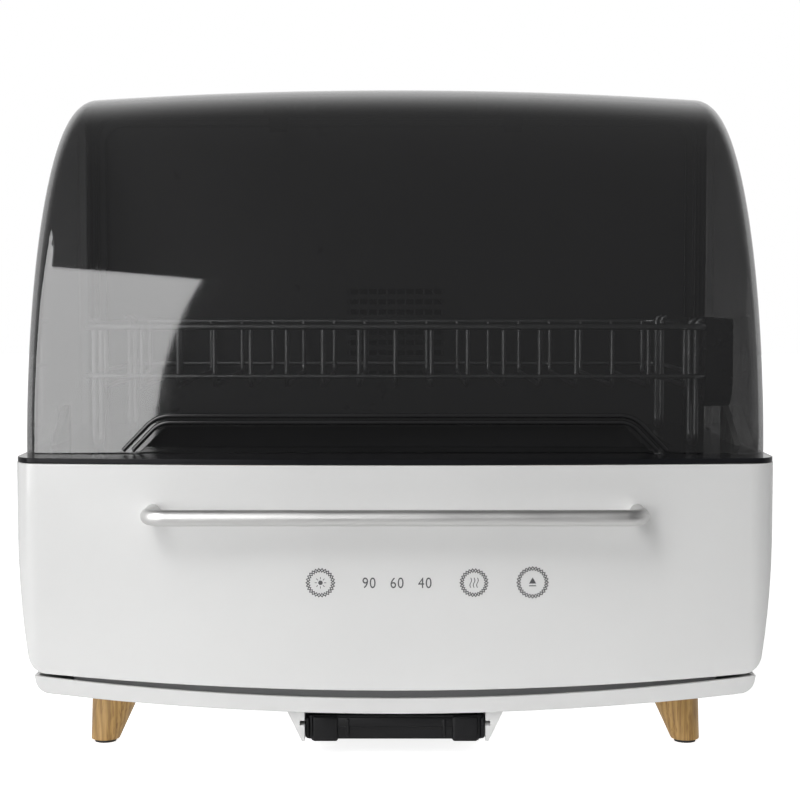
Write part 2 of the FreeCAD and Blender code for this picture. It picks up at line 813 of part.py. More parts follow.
runner_bottom = "(rail_bottom + rail_height / 2 - runner_height / 2)"
runner_right = box("drawer_runner_right",
                   ("drawer_width / 2", "drawer_width / 2 + runner_width"),
                   (depth("front_depth + drawer_corner"), depth("drawer_back - drawer_corner")),
                   (runner_bottom, f"{runner_bottom} + runner_height"))
keep(runner_right, "drawer_runner_right")
keep(mirrored("drawer_runner_left", runner_right), "drawer_runner_left")

rail_y = (depth("front_depth + seam + 3"), depth("rail_back"))
rail_block = box("rail_block", ("drawer_width / 2 + 3", f"{half_width} + 5"), rail_y,
                 ("rail_bottom", "rail_bottom + rail_height"))
rail_groove = box("rail_groove",
                  ("drawer_width / 2", "drawer_width / 2 + runner_width + runner_clearance"),
                  (f"{rail_y[0]} - 1", f"{rail_y[1]} - 4"),
                  (f"{runner_bottom} - runner_clearance",
                   f"{runner_bottom} + runner_height + runner_clearance"))
rail_right = cut("drawer_rail_right", common("rail_fitted", rail_block, shell_inside), rail_groove)
keep(rail_right, "drawer_rail_right")
keep(mirrored("drawer_rail_left", rail_right), "drawer_rail_left")


# Handle: a round bar whose two ends bend back into the front

handle = new_body("handle")
bar_y = depth("-handle_standoff")
bow_at_handle = f"({handle_x}^2 / (2 * bow_radius))"
foot_y = depth(f"({bow_at_handle})")
bent_wire(handle, "XY_Plane", "handle_height",
          [(f"-{handle_x}", foot_y), (f"-{handle_x}", f"{bar_y} + handle_bend", "handle_bend"),
           (f"-{handle_x} + handle_bend", bar_y), (f"{handle_x} - handle_bend", bar_y, "handle_bend"),
           (handle_x, f"{bar_y} + handle_bend"), (handle_x, foot_y)],
          "XZ_Plane", foot_y, (f"-{handle_x}", "handle_height"), "handle_diameter / 2")
for side in (-1, 1):
    extrude(handle, "Pocket", "XZ_Plane", f"{foot_y} - handle_screw_length + 5", f"{foot_y}",
            ("circle", f"{side} * {handle_x}", "handle_height", "handle_screw_radius + 0.05"))
keep(cut("handle_seated", handle, front_solid), "handle_bar")


def handle_screw(side):
    seat = depth(f"({bow_at_handle} + shell_wall + touch_clearance + 0.4)")
    head = rod(f"handle_screw_head_{side}", "y", (f"{side} * {handle_x}", seat, "handle_height"),
               "handle_screw_radius * 1.2", "handle_screw_radius * 2")
    shank = rod(f"handle_screw_shank_{side}", "y",
                (f"{side} * {handle_x}", f"{seat} - handle_screw_length + 2", "handle_height"),
                "handle_screw_length - 1", "handle_screw_radius")
    return fuse(f"handle_screw_{side}", head, shank)


keep(group("handle_screws", handle_screw(-1), handle_screw(1)), "handle_screws")


# Touch keys: a board behind the front with a sensing pad under each mark

board = new_body("control_board")
board_y = (depth("board_depth"), depth("board_depth + board_thickness"))
extrude(board, "Pad", "XZ_Plane", *board_y,
        rectangle(("-board_length / 2", "board_length / 2"),
                  ("key_height - board_height / 2", "key_height + board_height / 2")))
extrude(board, "Pad", "XZ_Plane", board_y[1], f"{board_y[1]} + chip_height",
        rectangle(("-chip_size / 2", "chip_size / 2"),
                  ("key_height - chip_size / 2", "key_height + chip_size / 2")),
        rectangle(("key_ring_offset - driver_width / 2", "key_ring_offset + driver_width / 2"),
                  ("key_height - driver_height / 2", "key_height + driver_height / 2")))
keep(board, "control_board")

key_places = ["-key_ring_offset", "-key_pitch", "0", "key_pitch", "key_ring_offset",
              "key_end_offset"]
key_rods = [rod(f"key_rod_{i}", "y", (x, depth("-5"), "key_height"), "board_depth + 5",
                "key_pad_radius") for i, x in enumerate(key_places)]
key_block = group("key_block", *key_rods)
keep(common("touch_pads", key_block, front_inside), "touch_pads")


# Lid: a smoked shell whose side profile is a quarter ellipse, slightly crowned across its width

def lid_solid(name, inset, slack):
    """The lid's outline moved in by an inset. Slack lengthens its open ends."""
    upright = f"(cabinet_height - {lid_bottom} - {inset})"
    level = f"(lid_crest - lid_front - {inset})"
    ellipse = doc.addObject("Part::Ellipse", f"{name}_ellipse")
    bind(ellipse, "MajorRadius", f"max({upright}; {level})")
    bind(ellipse, "MinorRadius", f"min({upright}; {level})")
    place(ellipse, "0", depth("lid_crest"), lid_bottom)
    # The longer radius stands upright, or lies along the depth when the lid is deeper than high.
    for part, if_level, if_upright in (("Axis.x", 1, 0), ("Axis.y", 1, 1), ("Axis.z", 1, 0),
                                       ("Angle", 120, 90)):
        bind(ellipse, f"Placement.Rotation.{part}",
             f"{upright} < {level} ? {if_level} : {if_upright}")
    turned = doc.addObject("Part::Revolution", f"{name}_turned")
    turned.Source = ellipse
    turned.Axis = FreeCAD.Vector(0, 1, 0)
    turned.Symmetric = True
    turned.Solid = True
    bind(turned, "Base.z", "cabinet_height - crown_radius")
    bind(turned, "Angle", "2.2 * asin(lid_width / 2 / (crown_radius - cabinet_height))")
    side = f"(lid_width / 2 - {inset})"
    block = box(f"{name}_block", (f"-{side}", side), (depth("0"), depth(f"lid_back + {slack}")),
                (f"{lid_bottom} - {slack}", "cabinet_height + 5"))
    trimmed = common(f"{name}_trimmed", turned, block)
    limit = value(side)
    return round_edges(name, trimmed, f"lid_edge_radius - {inset}",
                       lambda edge: edge.Curve.TypeId != "Part::GeomLine"
                       and abs(abs(middle(edge).x) - limit) < 0.01)


def grip(name, grow):
    """The finger recess in the lid's lower front, grown on every side by an amount."""
    low, high = f"({lid_bottom} - 20)", f"({lid_bottom} + grip_height + {grow})"
    slope = "((grip_bottom_width - grip_top_width) / 2 / grip_height)"
    wide_end = f"(grip_bottom_width / 2 + {grow} + 20 * {slope})"
    narrow_end = f"(grip_top_width / 2 + {grow} - {grow} * {slope})"
    return prism(name, "XZ_Plane", depth("lid_front - 10"),
                 depth(f"lid_front + grip_depth + {grow}"),
                 [(f"-{wide_end}", low), (wide_end, low), (narrow_end, high),
                  (f"-{narrow_end}", high)])


lid_outside = lid_solid("lid_outside", "0", "0")
lid_inside = lid_solid("lid_inside", "lid_wall", "10")
lid_skin = cut("lid_skin", lid_outside, grip("grip_recess", "0"))
lid_hollow = cut("lid_hollow", lid_inside, grip("grip_back", "lid_wall"))
keep(cut("lid_shell", lid_skin, lid_hollow), "lid_shell")

bumpers = []
for side in (-1, 1):
    bumper_z = ("deck_height + lid_gap / 5", lid_bottom)
    x = f"{side} * (grip_bottom_width / 2 + lid_edge_radius)"
    bumpers.append(box(f"bumper_front_{side}", (f"{x} - 6", f"{x} + 6"),
                       (depth("lid_front + 0.4"), depth("lid_front + lid_wall - 0.4")), bumper_z))
    x = f"{side} * (lid_width / 2 - lid_wall / 2)"
    bumpers.append(box(f"bumper_rear_{side}", (f"{x} - 1.1", f"{x} + 1.1"),
                       (depth("lid_back - 30"), depth("lid_back - 18")), bumper_z))
keep(group("lid_bumpers", *bumpers), "lid_bumpers")


# Rear housing behind the lid

def rear_solid(name, inset, slack):
    """A box with a crowned top and round rear edges, moved in by an inset."""
    side = f"(lid_width / 2 - {inset})"
    rear = f"({back} - {inset})"
    block = box(f"{name}_block", (f"-{side}", side), (f"{rear_front} - {slack}", rear),
                (f"deck_height - {slack}", "cabinet_height + 5"))
    crown = rod(f"{name}_crown", "y", ("0", f"{rear_front} - 20", "cabinet_height - crown_radius"),
                "cabinet_depth", f"crown_radius - {inset}")
    trimmed = common(f"{name}_trimmed", block, crown)
    limit, rear_end, low = value(side), value(rear), value("deck_height") + 1

    def outer(edge):
        """A top side edge, or one of the three edges round the back, but not the bottom ones."""
        point = middle(edge)
        along_side = abs(edge.tangentAt(edge.FirstParameter).y) > 0.99
        on_side = abs(abs(point.x) - limit) < 0.01
        return point.z > low and (abs(point.y - rear_end) < 0.01 or (on_side and along_side))

    return round_edges(name, trimmed, f"lid_edge_radius - {inset}", outer)


rear_outside = rear_solid("rear_outside", "0", "0")
rear_inside = rear_solid("rear_inside", "lid_wall", "10")
cover_x = ("-cover_width / 2", "cover_width / 2")
cover_z = ("cover_bottom", "cover_top")
cover_opening = prism("cover_opening", "XZ_Plane", f"{back} - 20", f"{back} + 5",
                      rounded(cover_x, cover_z, "cover_corner"))
keep(cut("rear_shell", rear_outside, rear_inside, cover_opening), "rear_shell")

border_y = depth("rear_panel_depth - panel_border")
panel_y = depth("rear_panel_depth")
panel_block = box("panel_block", wide, (border_y, panel_back), ("deck_height", "cabinet_height"))
panel_recess = prism(
    "panel_recess", "XZ_Plane", f"{border_y} - 5", panel_y,
    rounded(("-lid_width / 2 + lid_wall + panel_border_side",
             "lid_width / 2 - lid_wall - panel_border_side"),
            ("deck_height - 60", "cabinet_height - panel_border_top"), "panel_corner"))


def slots(name, low, high):
    """A stack of level slots in front of the fan."""
    rows = []
    for i in range(int(value("grille_slots"))):
        z = f"(fan_height + ({i} - (grille_slots - 1) / 2) * grille_pitch)"
        rows.append(rounded(("-grille_width / 2", "grille_width / 2"),
                            (f"{z} - grille_slot / 2", f"{z} + grille_slot / 2"),
                            "(grille_slot * 0.45)"))
    return prism(name, "XZ_Plane", low, high, *rows)


keep(cut("rear_panel", common("panel_fitted", rear_inside, panel_block), panel_recess,
         slots("panel_slots", f"{border_y} - 5", f"{panel_back} + 1")), "rear_panel")

cover = new_body("cover")
flange_y = f"({back} - lid_wall - cover_flange_wall)"
extrude(cover, "Pad", "XZ_Plane", flange_y, f"{back} - lid_wall",
        rounded(("-cover_width / 2 - cover_flange", "cover_width / 2 + cover_flange"),
                ("cover_bottom - cover_flange", "cover_top + cover_flange"), "cover_corner"))
extrude(cover, "Pad", "XZ_Plane", f"{back} - lid_wall", back,
        rounded((f"{cover_x[0]} + touch_clearance", f"{cover_x[1]} - touch_clearance"),
                (f"{cover_z[0]} + touch_clearance", f"{cover_z[1]} - touch_clearance"),
                "(cover_corner - touch_clearance)"))
inlet_x = ("-inlet_offset - inlet_width / 2", "-inlet_offset + inlet_width / 2")
inlet_z = ("inlet_bottom", "inlet_bottom + inlet_height")
extrude(cover, "Pocket", "XZ_Plane", f"{flange_y} - 1", f"{back}", rectangle(inlet_x, inlet_z))
corners = [(f"{side} * (cover_width / 2 - cover_corner)", z)
           for side in (-1, 1) for z in ("cover_bottom + cover_corner", "cover_top - cover_corner")]
cover_screws = []
standoffs = []
for i, (x, z) in enumerate(corners):
    shank = rod(f"cover_screw_shank_{i}", "y", (x, f"{back} - cover_screw_length", z),
                "cover_screw_length - 1", "cover_screw_radius")
    head = rod(f"cover_screw_head_{i}", "y", (x, f"{back} - 2", z), "2", "cover_screw_head")
    cover_screws.append(fuse(f"cover_screw_{i}", shank, head))
    post = rod(f"standoff_post_{i}", "y", (x, panel_back, z), f"{flange_y} - {panel_back}",
               "standoff_radius")
    standoffs.append(cut(f"standoff_{i}", post, shank))
keep(group("rear_cover_screws", *cover_screws), "rear_cover_screws")
keep(group("rear_standoffs", *standoffs), "rear_standoffs")
keep(cut("rear_cover", cover, slots("cover_slots", f"{flange_y} - 1", f"{back} + 1"),
         *cover_screws), "rear_cover")


# Lid hinge: brackets and pins in the rear housing, arms on the lid

arm_x = ("hinge_offset - hinge_arm_width / 2", "hinge_offset + hinge_arm_width / 2")
pin_x = (f"{arm_x[0]} - touch_clearance - hinge_bracket_wall",
         f"{arm_x[1]} + touch_clearance + hinge_bracket_wall")
pin = rod("hinge_pin", "x", (pin_x[0], hinge_y, hinge_z), f"{pin_x[1]} - ({pin_x[0]})",
          "hinge_pin_radius")
bracket_y = (f"{hinge_y} - hinge_barrel_radius", f"{hinge_y} + hinge_barrel_radius")
bracket_z = (f"{hinge_z} - hinge_barrel_radius - 1", "cabinet_height")
ears = fuse("hinge_ears",
            box("hinge_ear_inner", (pin_x[0], f"{pin_x[0]} + hinge_bracket_wall"), bracket_y,
                bracket_z),
            box("hinge_ear_outer", (f"{pin_x[1]} - hinge_bracket_wall", pin_x[1]), bracket_y,
                bracket_z))
bracket = cut("hinge_bracket_right", common("hinge_ears_fitted", ears, rear_inside), pin)
keep(bracket, "hinge_bracket_right")
keep(mirrored("hinge_bracket_left", bracket), "hinge_bracket_left")
keep(pin, "hinge_pin_right")
keep(mirrored("hinge_pin_left", pin), "hinge_pin_left")

web = "(hinge_setback + arm_clearance)"
neck = "(hinge_barrel_radius * 0.9)"
arm_plate = prism("hinge_arm_plate", "YZ_Plane", *arm_x, [
    (f"{hinge_y} - {web} - hinge_arm_thickness", "cabinet_height + 2"),
    (f"{hinge_y} - {web} - hinge_arm_thickness", f"{hinge_z} - arm_drop"),
    (f"{hinge_y} - hinge_setback - 2", f"{hinge_z} - arm_toe_drop"),
    (f"{hinge_y} - 1", f"{hinge_z} - {neck}"),
    (f"{hinge_y} - hinge_barrel_radius * 0.8", f"{hinge_z} - {neck} * 0.8"),
    (f"{hinge_y} - {web} + 0.5", f"{hinge_z} - arm_inner_drop"),
    (f"{hinge_y} - {web}", "cabinet_height + 2"),
])
barrel = rod("hinge_barrel", "x", (arm_x[0], hinge_y, hinge_z), "hinge_arm_width",
             "hinge_barrel_radius")
barrel_bore = rod("hinge_barrel_bore", "x", (f"{arm_x[0]} - 1", hinge_y, hinge_z),
                  "hinge_arm_width + 2", "hinge_pin_radius + hinge_pin_clearance")
arm = cut("hinge_arm_right",
          fuse("hinge_arm_joined", common("hinge_arm_fitted", arm_plate, lid_hollow), barrel),
          barrel_bore)
keep(arm, "hinge_arm_right")
keep(mirrored("hinge_arm_left", arm), "hinge_arm_left")


# Ultraviolet lamp under the rear housing's top

lamp_x = ("-lamp_length / 2", "lamp_length / 2")
lamp_y = f"({hinge_y} - 1)"
lamp_z = "(cabinet_height - lid_wall - lamp_holder_height + lamp_radius + 1)"
holder_half = "(lamp_radius + 1 + lamp_holder_wall)"
holder_block = box("holder_block", (f"{lamp_x[0]} - lamp_holder_wall",
                                    f"{lamp_x[1]} + lamp_holder_wall"),
                   (f"{lamp_y} - {holder_half}", f"{lamp_y} + {holder_half}"),
                   ("cabinet_height - lid_wall - lamp_holder_height", "cabinet_height"))
holder_channel = box("holder_channel", lamp_x,
                     (f"{lamp_y} - lamp_radius - 1", f"{lamp_y} + lamp_radius + 1"),
                     ("cabinet_height - lid_wall - lamp_holder_height - 1",
                      f"{lamp_z} + lamp_radius + 1"))
keep(cut("uv_lamp_holder", common("holder_fitted", holder_block, rear_inside), holder_channel),
     "uv_lamp_holder")
keep(rod("uv_lamp_tube", "x", (lamp_x[0], lamp_y, lamp_z), "lamp_length", "lamp_radius"),
     "uv_lamp_tube")


# Warm-air unit behind the rear panel: heater, fan housing, motor and impeller

heater_y = (panel_back, f"({panel_back} + heater_thickness)")
heater_outer = (("-heater_width / 2", "heater_width / 2"),
                ("fan_height - heater_height / 2", "fan_height + heater_height / 2"))
heater_inner = (("-heater_width / 2 + heater_wall", "heater_width / 2 - heater_wall"),
                ("fan_height - heater_height / 2 + heater_wall",
                 "fan_height + heater_height / 2 - heater_wall"))
heater_frame = prism("heater_frame", "XZ_Plane", *heater_y, rectangle(*heater_outer),
                     rectangle(*heater_inner))
keep(heater_frame, "heater_frame")
fin_rows = []
for i in range(int(value("heater_fins"))):
    x = f"(({i} + 1) / (heater_fins + 1) - 0.5) * (heater_width - 2 * heater_wall)"
    fin_rows.append(rectangle((f"{x} - heater_fin / 2", f"{x} + heater_fin / 2"), heater_inner[1]))
keep(prism("heater_fins", "XZ_Plane", f"{heater_y[0]} + 1", f"{heater_y[1]} - 1", *fin_rows),
     "heater_fins")

fan_y = (heater_y[1], f"({heater_y[1]} + fan_thickness)")
fan_housing = new_body("fan_housing")
extrude(fan_housing, "Pad", "XZ_Plane", *fan_y,
        rounded(("-fan_size / 2", "fan_size / 2"),
                ("fan_height - fan_size / 2", "fan_height + fan_size / 2"), "5"),
        ("circle", "0", "fan_height", "fan_bore_radius"))
strut_y = (f"{fan_y[1]} - strut_thickness", fan_y[1])
extrude(fan_housing, "Pad", "XZ_Plane", *strut_y,
        ("circle", "0", "fan_height", "fan_motor_radius"))
extrude(fan_housing, "Pad", "XZ_Plane", *strut_y,
        rectangle(("-fan_bore_radius - 1", "fan_bore_radius + 1"),
                  ("fan_height - strut_width / 2", "fan_height + strut_width / 2")))
extrude(fan_housing, "Pad", "XZ_Plane", *strut_y,
        rectangle(("-strut_width / 2", "strut_width / 2"),
                  ("fan_height - fan_bore_radius - 1", "fan_height + fan_bore_radius + 1")))
keep(fan_housing, "fan_housing")

motor_y = f"({strut_y[0]} - fan_motor_length)"
stator = rod("fan_stator", "y", ("0", motor_y, "fan_height"), "fan_motor_length",
             "fan_motor_radius - 2")
shaft = rod("fan_shaft", "y", ("0", f"{motor_y} - fan_hub_length + 1", "fan_height"),
            "fan_hub_length", "fan_shaft_radius")
keep(fuse("fan_motor", stator, shaft), "fan_motor")

impeller = new_body("fan_impeller")
place(impeller, "0", f"{motor_y} - touch_clearance - fan_hub_length", "fan_height")
extrude(impeller, "Pad", "XZ_Plane", "0", "fan_hub_length", ("circle", "0", "0", "fan_hub_radius"))
blade = extrude(impeller, "Pad", "XY_Plane", "fan_hub_radius - 1",
                "fan_bore_radius - fan_tip_clearance - 0.9",
                [("-blade_reach", "blade_margin"),
                 ("-blade_reach + blade_thickness", "blade_margin"),
                 ("blade_reach", "fan_hub_length - blade_margin"),
                 ("blade_reach - blade_thickness", "fan_hub_length - blade_margin")])
blades = impeller.newObject("PartDesign::PolarPattern", "fan_blades")
blades.Originals = [blade]
axis = next(part for part in impeller.Origin.OriginFeatures if part.Role == "Y_Axis")
blades.Axis = (axis, [""])
blades.Angle = 360
bind(blades, "Occurrences", "fan_blades")
impeller.Tip = blades
doc.recompute()
extrude(impeller, "Pocket", "XZ_Plane", "-1", "fan_hub_length + 1",
        ("circle", "0", "0", "fan_shaft_radius + fan_shaft_clearance"))
keep(impeller, "fan_impeller")


# Supply board and mains inlet

supply = new_body("power_board")
supply_x = ("supply_board_offset", "supply_board_offset + supply_board_width")
supply_z = ("supply_board_bottom", "supply_board_bottom + supply_board_height")
supply_y = f"({panel_back} + supply_post_height)"
supply_face = f"({supply_y} + board_thickness)"
root = "0.2"
extrude(supply, "Pad", "XZ_Plane", supply_y, supply_face, rectangle(supply_x, supply_z))
extrude(supply, "Pad", "XZ_Plane", panel_back, f"{supply_y} + {root}", *[
    ("circle", f"{x} + {x_sign} * supply_post_inset", f"{z} + {z_sign} * supply_post_inset",
     "supply_post_radius")
    for x, x_sign in zip(supply_x, (1, -1)) for z, z_sign in zip(supply_z, (1, -1))])
part_x = f"({supply_x[0]} + part_inset)"
extrude(supply, "Pad", "XZ_Plane", f"{supply_face} - {root}", f"{supply_face} + transformer_depth",
        rectangle((part_x, f"{part_x} + transformer_width"),
                  (f"{supply_z[0]} + part_inset", f"{supply_z[0]} + part_inset + transformer_height")))
capacitor_x = f"({supply_x[1]} - part_inset - capacitor_radius)"
capacitor_z = f"({supply_z[0]} + part_inset + 2 * capacitor_radius)"
extrude(supply, "Pad", "XZ_Plane", f"{supply_face} - {root}", f"{supply_face} + relay_depth",
        ("circle", capacitor_x, capacitor_z, "capacitor_radius"),
        ("circle", capacitor_x, f"{capacitor_z} + capacitor_pitch", "capacitor_radius"),
        rectangle((part_x, f"{part_x} + relay_width"),
                  (f"{supply_z[1]} - part_inset - relay_height", f"{supply_z[1]} - part_inset")))
keep(supply, "power_board")

inlet = new_body("power_inlet")
inlet_y = f"({back} - inlet_length)"
inlet_middle = "inlet_bottom + inlet_height / 2"
extrude(inlet, "Pad", "XZ_Plane", inlet_y, back, rounded(inlet_x, inlet_z, "inlet_wall"))
extrude(inlet, "Pocket", "XZ_Plane", f"{inlet_y} + inlet_floor", back,
        rounded((f"{inlet_x[0]} + inlet_wall", f"{inlet_x[1]} - inlet_wall"),
                (f"{inlet_z[0]} + inlet_wall", f"{inlet_z[1]} - inlet_wall"), "inlet_floor"))
extrude(inlet, "Pad", "XZ_Plane", f"{inlet_y} + inlet_floor - 1", f"{back} - 2 * inlet_floor", *[
    ("circle", f"-inlet_offset + {side} * inlet_pin_pitch / 2", inlet_middle, "inlet_pin_radius")
    for side in (-1, 1)])
keep(inlet, "power_inlet")


# Wire rack: two rails, a row of bent wires and four legs

rail_x = "(rack_width / 2 - rim_wire / 2)"
rail_ends = (depth("rack_front"), depth("rack_back"))
rail_path = rounded((f"-{rail_x}", rail_x), rail_ends, "rack_corner")


def rail(name, height, radius):
    body = new_body(name)
    bent_wire(body, "XY_Plane", height, rail_path, "YZ_Plane", f"-{rail_x} + rack_corner",
              (rail_ends[0], height), radius, closed=True)
    return body


keep(rail("rack_rim", "rack_rim_height", "rim_wire / 2"), "rack_rim")
keep(rail("rack_base_rail", "rack_floor_height", "grid_wire / 2"), "rack_base_rail")

grid = new_body("rack_wires")
touch = "((rim_wire + grid_wire) / 2 + weld_gap)"
wire_ends = (f"({rail_ends[0]} + {touch})", f"({rail_ends[1]} - {touch})")
grid_z = "(rack_floor_height - grid_drop)"
first_x = "(-(grid_wires - 1) / 2 * grid_pitch)"
grid_pipe = bent_wire(
    grid, "YZ_Plane", first_x,
    [(wire_ends[0], "rack_rim_height"), (wire_ends[0], f"{grid_z} + grid_bend", "grid_bend"),
     (f"{wire_ends[0]} + grid_bend", grid_z), (f"{wire_ends[1]} - grid_bend", grid_z, "grid_bend"),
     (wire_ends[1], f"{grid_z} + grid_bend"), (wire_ends[1], "rack_rim_height")],
    "XY_Plane", "rack_rim_height", (first_x, wire_ends[0]), "grid_wire / 2")
grid_row = grid.newObject("PartDesign::LinearPattern", "rack_wire_row")
grid_row.Originals = [grid_pipe]
row_axis = next(part for part in grid.Origin.OriginFeatures if part.Role == "X_Axis")
grid_row.Direction = (row_axis, [""])
bind(grid_row, "Length", "(grid_wires - 1) * grid_pitch")
bind(grid_row, "Occurrences", "grid_wires")
grid.Tip = grid_row
keep(grid, "rack_wires")


def leg(name, side, start):
    """A bent wire that hangs from the rim inside the rail and stands on the deck."""
    low = "(deck_height + touch_clearance + rim_wire / 2)"
    ends = (start, f"({start} + leg_length)")
    x = f"{side} * ({rail_x} - rim_wire - weld_gap)"
    body = new_body(name)
    bent_wire(body, "YZ_Plane", x,
              [(ends[0], "rack_rim_height"), (ends[0], f"{low} + leg_bend", "leg_bend"),
               (f"{ends[0]} + leg_bend", low), (f"{ends[1]} - leg_bend", low, "leg_bend"),
               (ends[1], f"{low} + leg_bend"), (ends[1], "rack_rim_height")],
              "XY_Plane", "rack_rim_height", (x, ends[0]), "rim_wire / 2")
    return body


leg_start = {"front": depth("rack_front + leg_setback"),
             "rear": f"({rail_ends[1]} - leg_setback - leg_length)"}
keep(group("rack_legs", *[leg(f"rack_leg_{end}_{side}", side, start)
                          for end, start in leg_start.items() for side in (-1, 1)]), "rack_legs")


# Ribs on the deck that centre the lid as it closes

guide_x = ("lid_width / 2 - lid_wall - guide_clearance - guide_thickness",
           "lid_width / 2 - lid_wall - guide_clearance")
guide = prism("lid_guide_right", "YZ_Plane", *guide_x, [
    (depth("guide_front"), "deck_height"), (depth("guide_back"), "deck_height"),
    (depth("guide_back"), "deck_height + guide_height"),
    (depth("guide_back - guide_foot"), "deck_height + guide_height")])
keep(guide, "lid_guide_right")
keep(mirrored("lid_guide_left", guide), "lid_guide_left")


# Cutlery basket that hooks over the rack's right rail

basket = new_body("cutlery_basket")
basket_x = ("(rack_width / 2 + touch_clearance)",
            "(rack_width / 2 + touch_clearance + basket_width)")
basket_y = (depth("basket_front"), depth("basket_back"))
basket_z = ("basket_bottom", "basket_top")


def trough(inset, top):
    """The basket's outline from the side, round at its two lower corners."""
    (y0, y1), z0 = basket_y, f"(basket_bottom + {inset})"
    r = f"(basket_corner - {inset})"
    return [(f"{y0} + {inset} + {r}", z0), (f"{y1} - {inset} - {r}", z0, r),
            (f"{y1} - {inset}", f"{z0} + {r}"), (f"{y1} - {inset}", top),
            (f"{y0} + {inset}", top), (f"{y0} + {inset}", f"{z0} + {r}", r)]


extrude(basket, "Pad", "YZ_Plane", *basket_x, trough("0", "basket_top"))
extrude(basket, "Pocket", "YZ_Plane", f"{basket_x[0]} + basket_wall",
        f"{basket_x[1]} - basket_wall", trough("basket_wall", "basket_top + 5"))
hook_y = ("(basket_front + basket_back - basket_hook) / 2",
          "(basket_front + basket_back + basket_hook) / 2")
hook_inner = "(rack_width / 2 - rim_wire - touch_clearance - basket_wall)"
hook = (depth(f"({hook_y[0]})"), depth(f"({hook_y[1]})"))
extrude(basket, "Pad", "XZ_Plane", *hook, [
    (f"{basket_x[0]} + basket_wall", "basket_top"), (hook_inner, "basket_top"),
    (hook_inner, "rack_rim_height - rim_wire"),
    (f"{hook_inner} + basket_wall", "rack_rim_height - rim_wire"),
    (f"{hook_inner} + basket_wall", "rack_rim_height + rim_wire / 2 + touch_clearance"),
    (f"{basket_x[0]} + basket_wall", "rack_rim_height + rim_wire / 2 + touch_clearance")])
drain_slots = []
for i in range(int(value("basket_slots"))):
    y = (f"({basket_y[0]} + basket_corner + {i} * "
         "(basket_back - basket_front - 2 * basket_corner) / (basket_slots - 1))")
    drain_slots.append(rounded((f"{y} - basket_slot / 2", f"{y} + basket_slot / 2"),
                               ("basket_bottom + basket_corner", "basket_top - basket_slot_margin"),
                               "(basket_slot * 0.45)"))
extrude(basket, "Pocket", "YZ_Plane", f"{basket_x[1]} - basket_wall - 1", f"{basket_x[1]} + 1",
        *drain_slots)
keep(basket, "cutlery_basket")


# Check every object, then write one file for each piece

doc.recompute()
failed = [item.Label for item in doc.Objects
          if "Invalid" in item.State or "Error" in item.State]
if failed:
    raise RuntimeError(f"failed objects: {', '.join(failed)}")
for item in pieces:
    if item.Shape.isNull() or not item.Shape.isValid() or not item.Shape.Solids:
        raise RuntimeError(f"{item.Label} has no valid solid")
for item in pieces:
    item.Shape.exportStep(f"parts/{item.Label}.step")
print(f"{len(pieces)} pieces written")
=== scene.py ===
import json
import math

import bmesh
import bpy
from mathutils import Matrix, Vector


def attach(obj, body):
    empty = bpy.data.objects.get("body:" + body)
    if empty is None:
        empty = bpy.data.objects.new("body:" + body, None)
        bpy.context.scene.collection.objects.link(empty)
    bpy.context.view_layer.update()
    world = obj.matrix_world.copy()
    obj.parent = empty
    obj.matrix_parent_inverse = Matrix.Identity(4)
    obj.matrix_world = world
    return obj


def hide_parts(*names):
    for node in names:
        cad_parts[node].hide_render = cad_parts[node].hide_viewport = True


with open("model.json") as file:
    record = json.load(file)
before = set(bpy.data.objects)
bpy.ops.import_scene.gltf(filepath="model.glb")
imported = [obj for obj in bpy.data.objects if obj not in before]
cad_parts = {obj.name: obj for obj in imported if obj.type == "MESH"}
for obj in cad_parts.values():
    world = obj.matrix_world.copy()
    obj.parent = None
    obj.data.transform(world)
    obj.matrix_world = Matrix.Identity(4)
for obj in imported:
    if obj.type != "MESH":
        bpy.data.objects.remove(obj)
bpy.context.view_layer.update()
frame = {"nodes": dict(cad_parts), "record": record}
nodes = frame["nodes"]
print("frame loaded with", len(nodes), "nodes")


# Camera, lights and backdrop

view = dict(place=(0.0031, -1.258, 0.2944), tiltDown=3.5, lens=80.1, near=0.05, far=60)


def addCamera():
    data = bpy.data.cameras.new("studioCamera")
    data.lens = view["lens"]
    data.clip_start, data.clip_end = view["near"], view["far"]
    camera = bpy.data.objects.new("studioCamera", data)
    camera.location = view["place"]
    camera.rotation_euler = (math.radians(90 - view["tiltDown"]), 0, 0)
    bpy.context.collection.objects.link(camera)
    bpy.context.scene.camera = camera


softboxes = {
    "keySoftbox": dict(place=(-0.70, -1.70, 1.30), turn=(90, -4.4, -53.7), width=0.75, height=2.50, glow=4.3),
    "keyWing": dict(place=(-1.26, -0.938, 1.30), turn=(90, -4.4, -53.7), width=1.14, height=2.50, glow=4.3,
                    lighting=False),
    "frontWash": dict(place=(-0.35, -1.10, 0.95), turn=(52, 0, -17), width=0.6, height=0.3, glow=3.0,
                      mirrored=False),
    "sideGlow": dict(place=(-0.86, -0.62, 0.24), turn=(90, 0, -58), width=0.5, height=0.5, glow=1.1,
                     mirrored=False),
    "rightFill": dict(place=(2.10, -0.95, 1.05), turn=(90, 0, 64), width=1.1, height=1.7, glow=0.24),
}


def addSoftbox(name, place, turn, width, height, glow, mirrored=True, lighting=True):
    data = bpy.data.lights.new(name, "AREA")
    data.shape = "RECTANGLE"
    data.size, data.size_y = width, height
    data.energy = glow * math.pi * width * height  # the glow is the panel's own brightness
    lamp = bpy.data.objects.new(name, data)
    lamp.location = place
    lamp.rotation_euler = [math.radians(angle) for angle in turn]
    lamp.visible_glossy = mirrored
    lamp.visible_diffuse = lighting
    bpy.context.collection.objects.link(lamp)


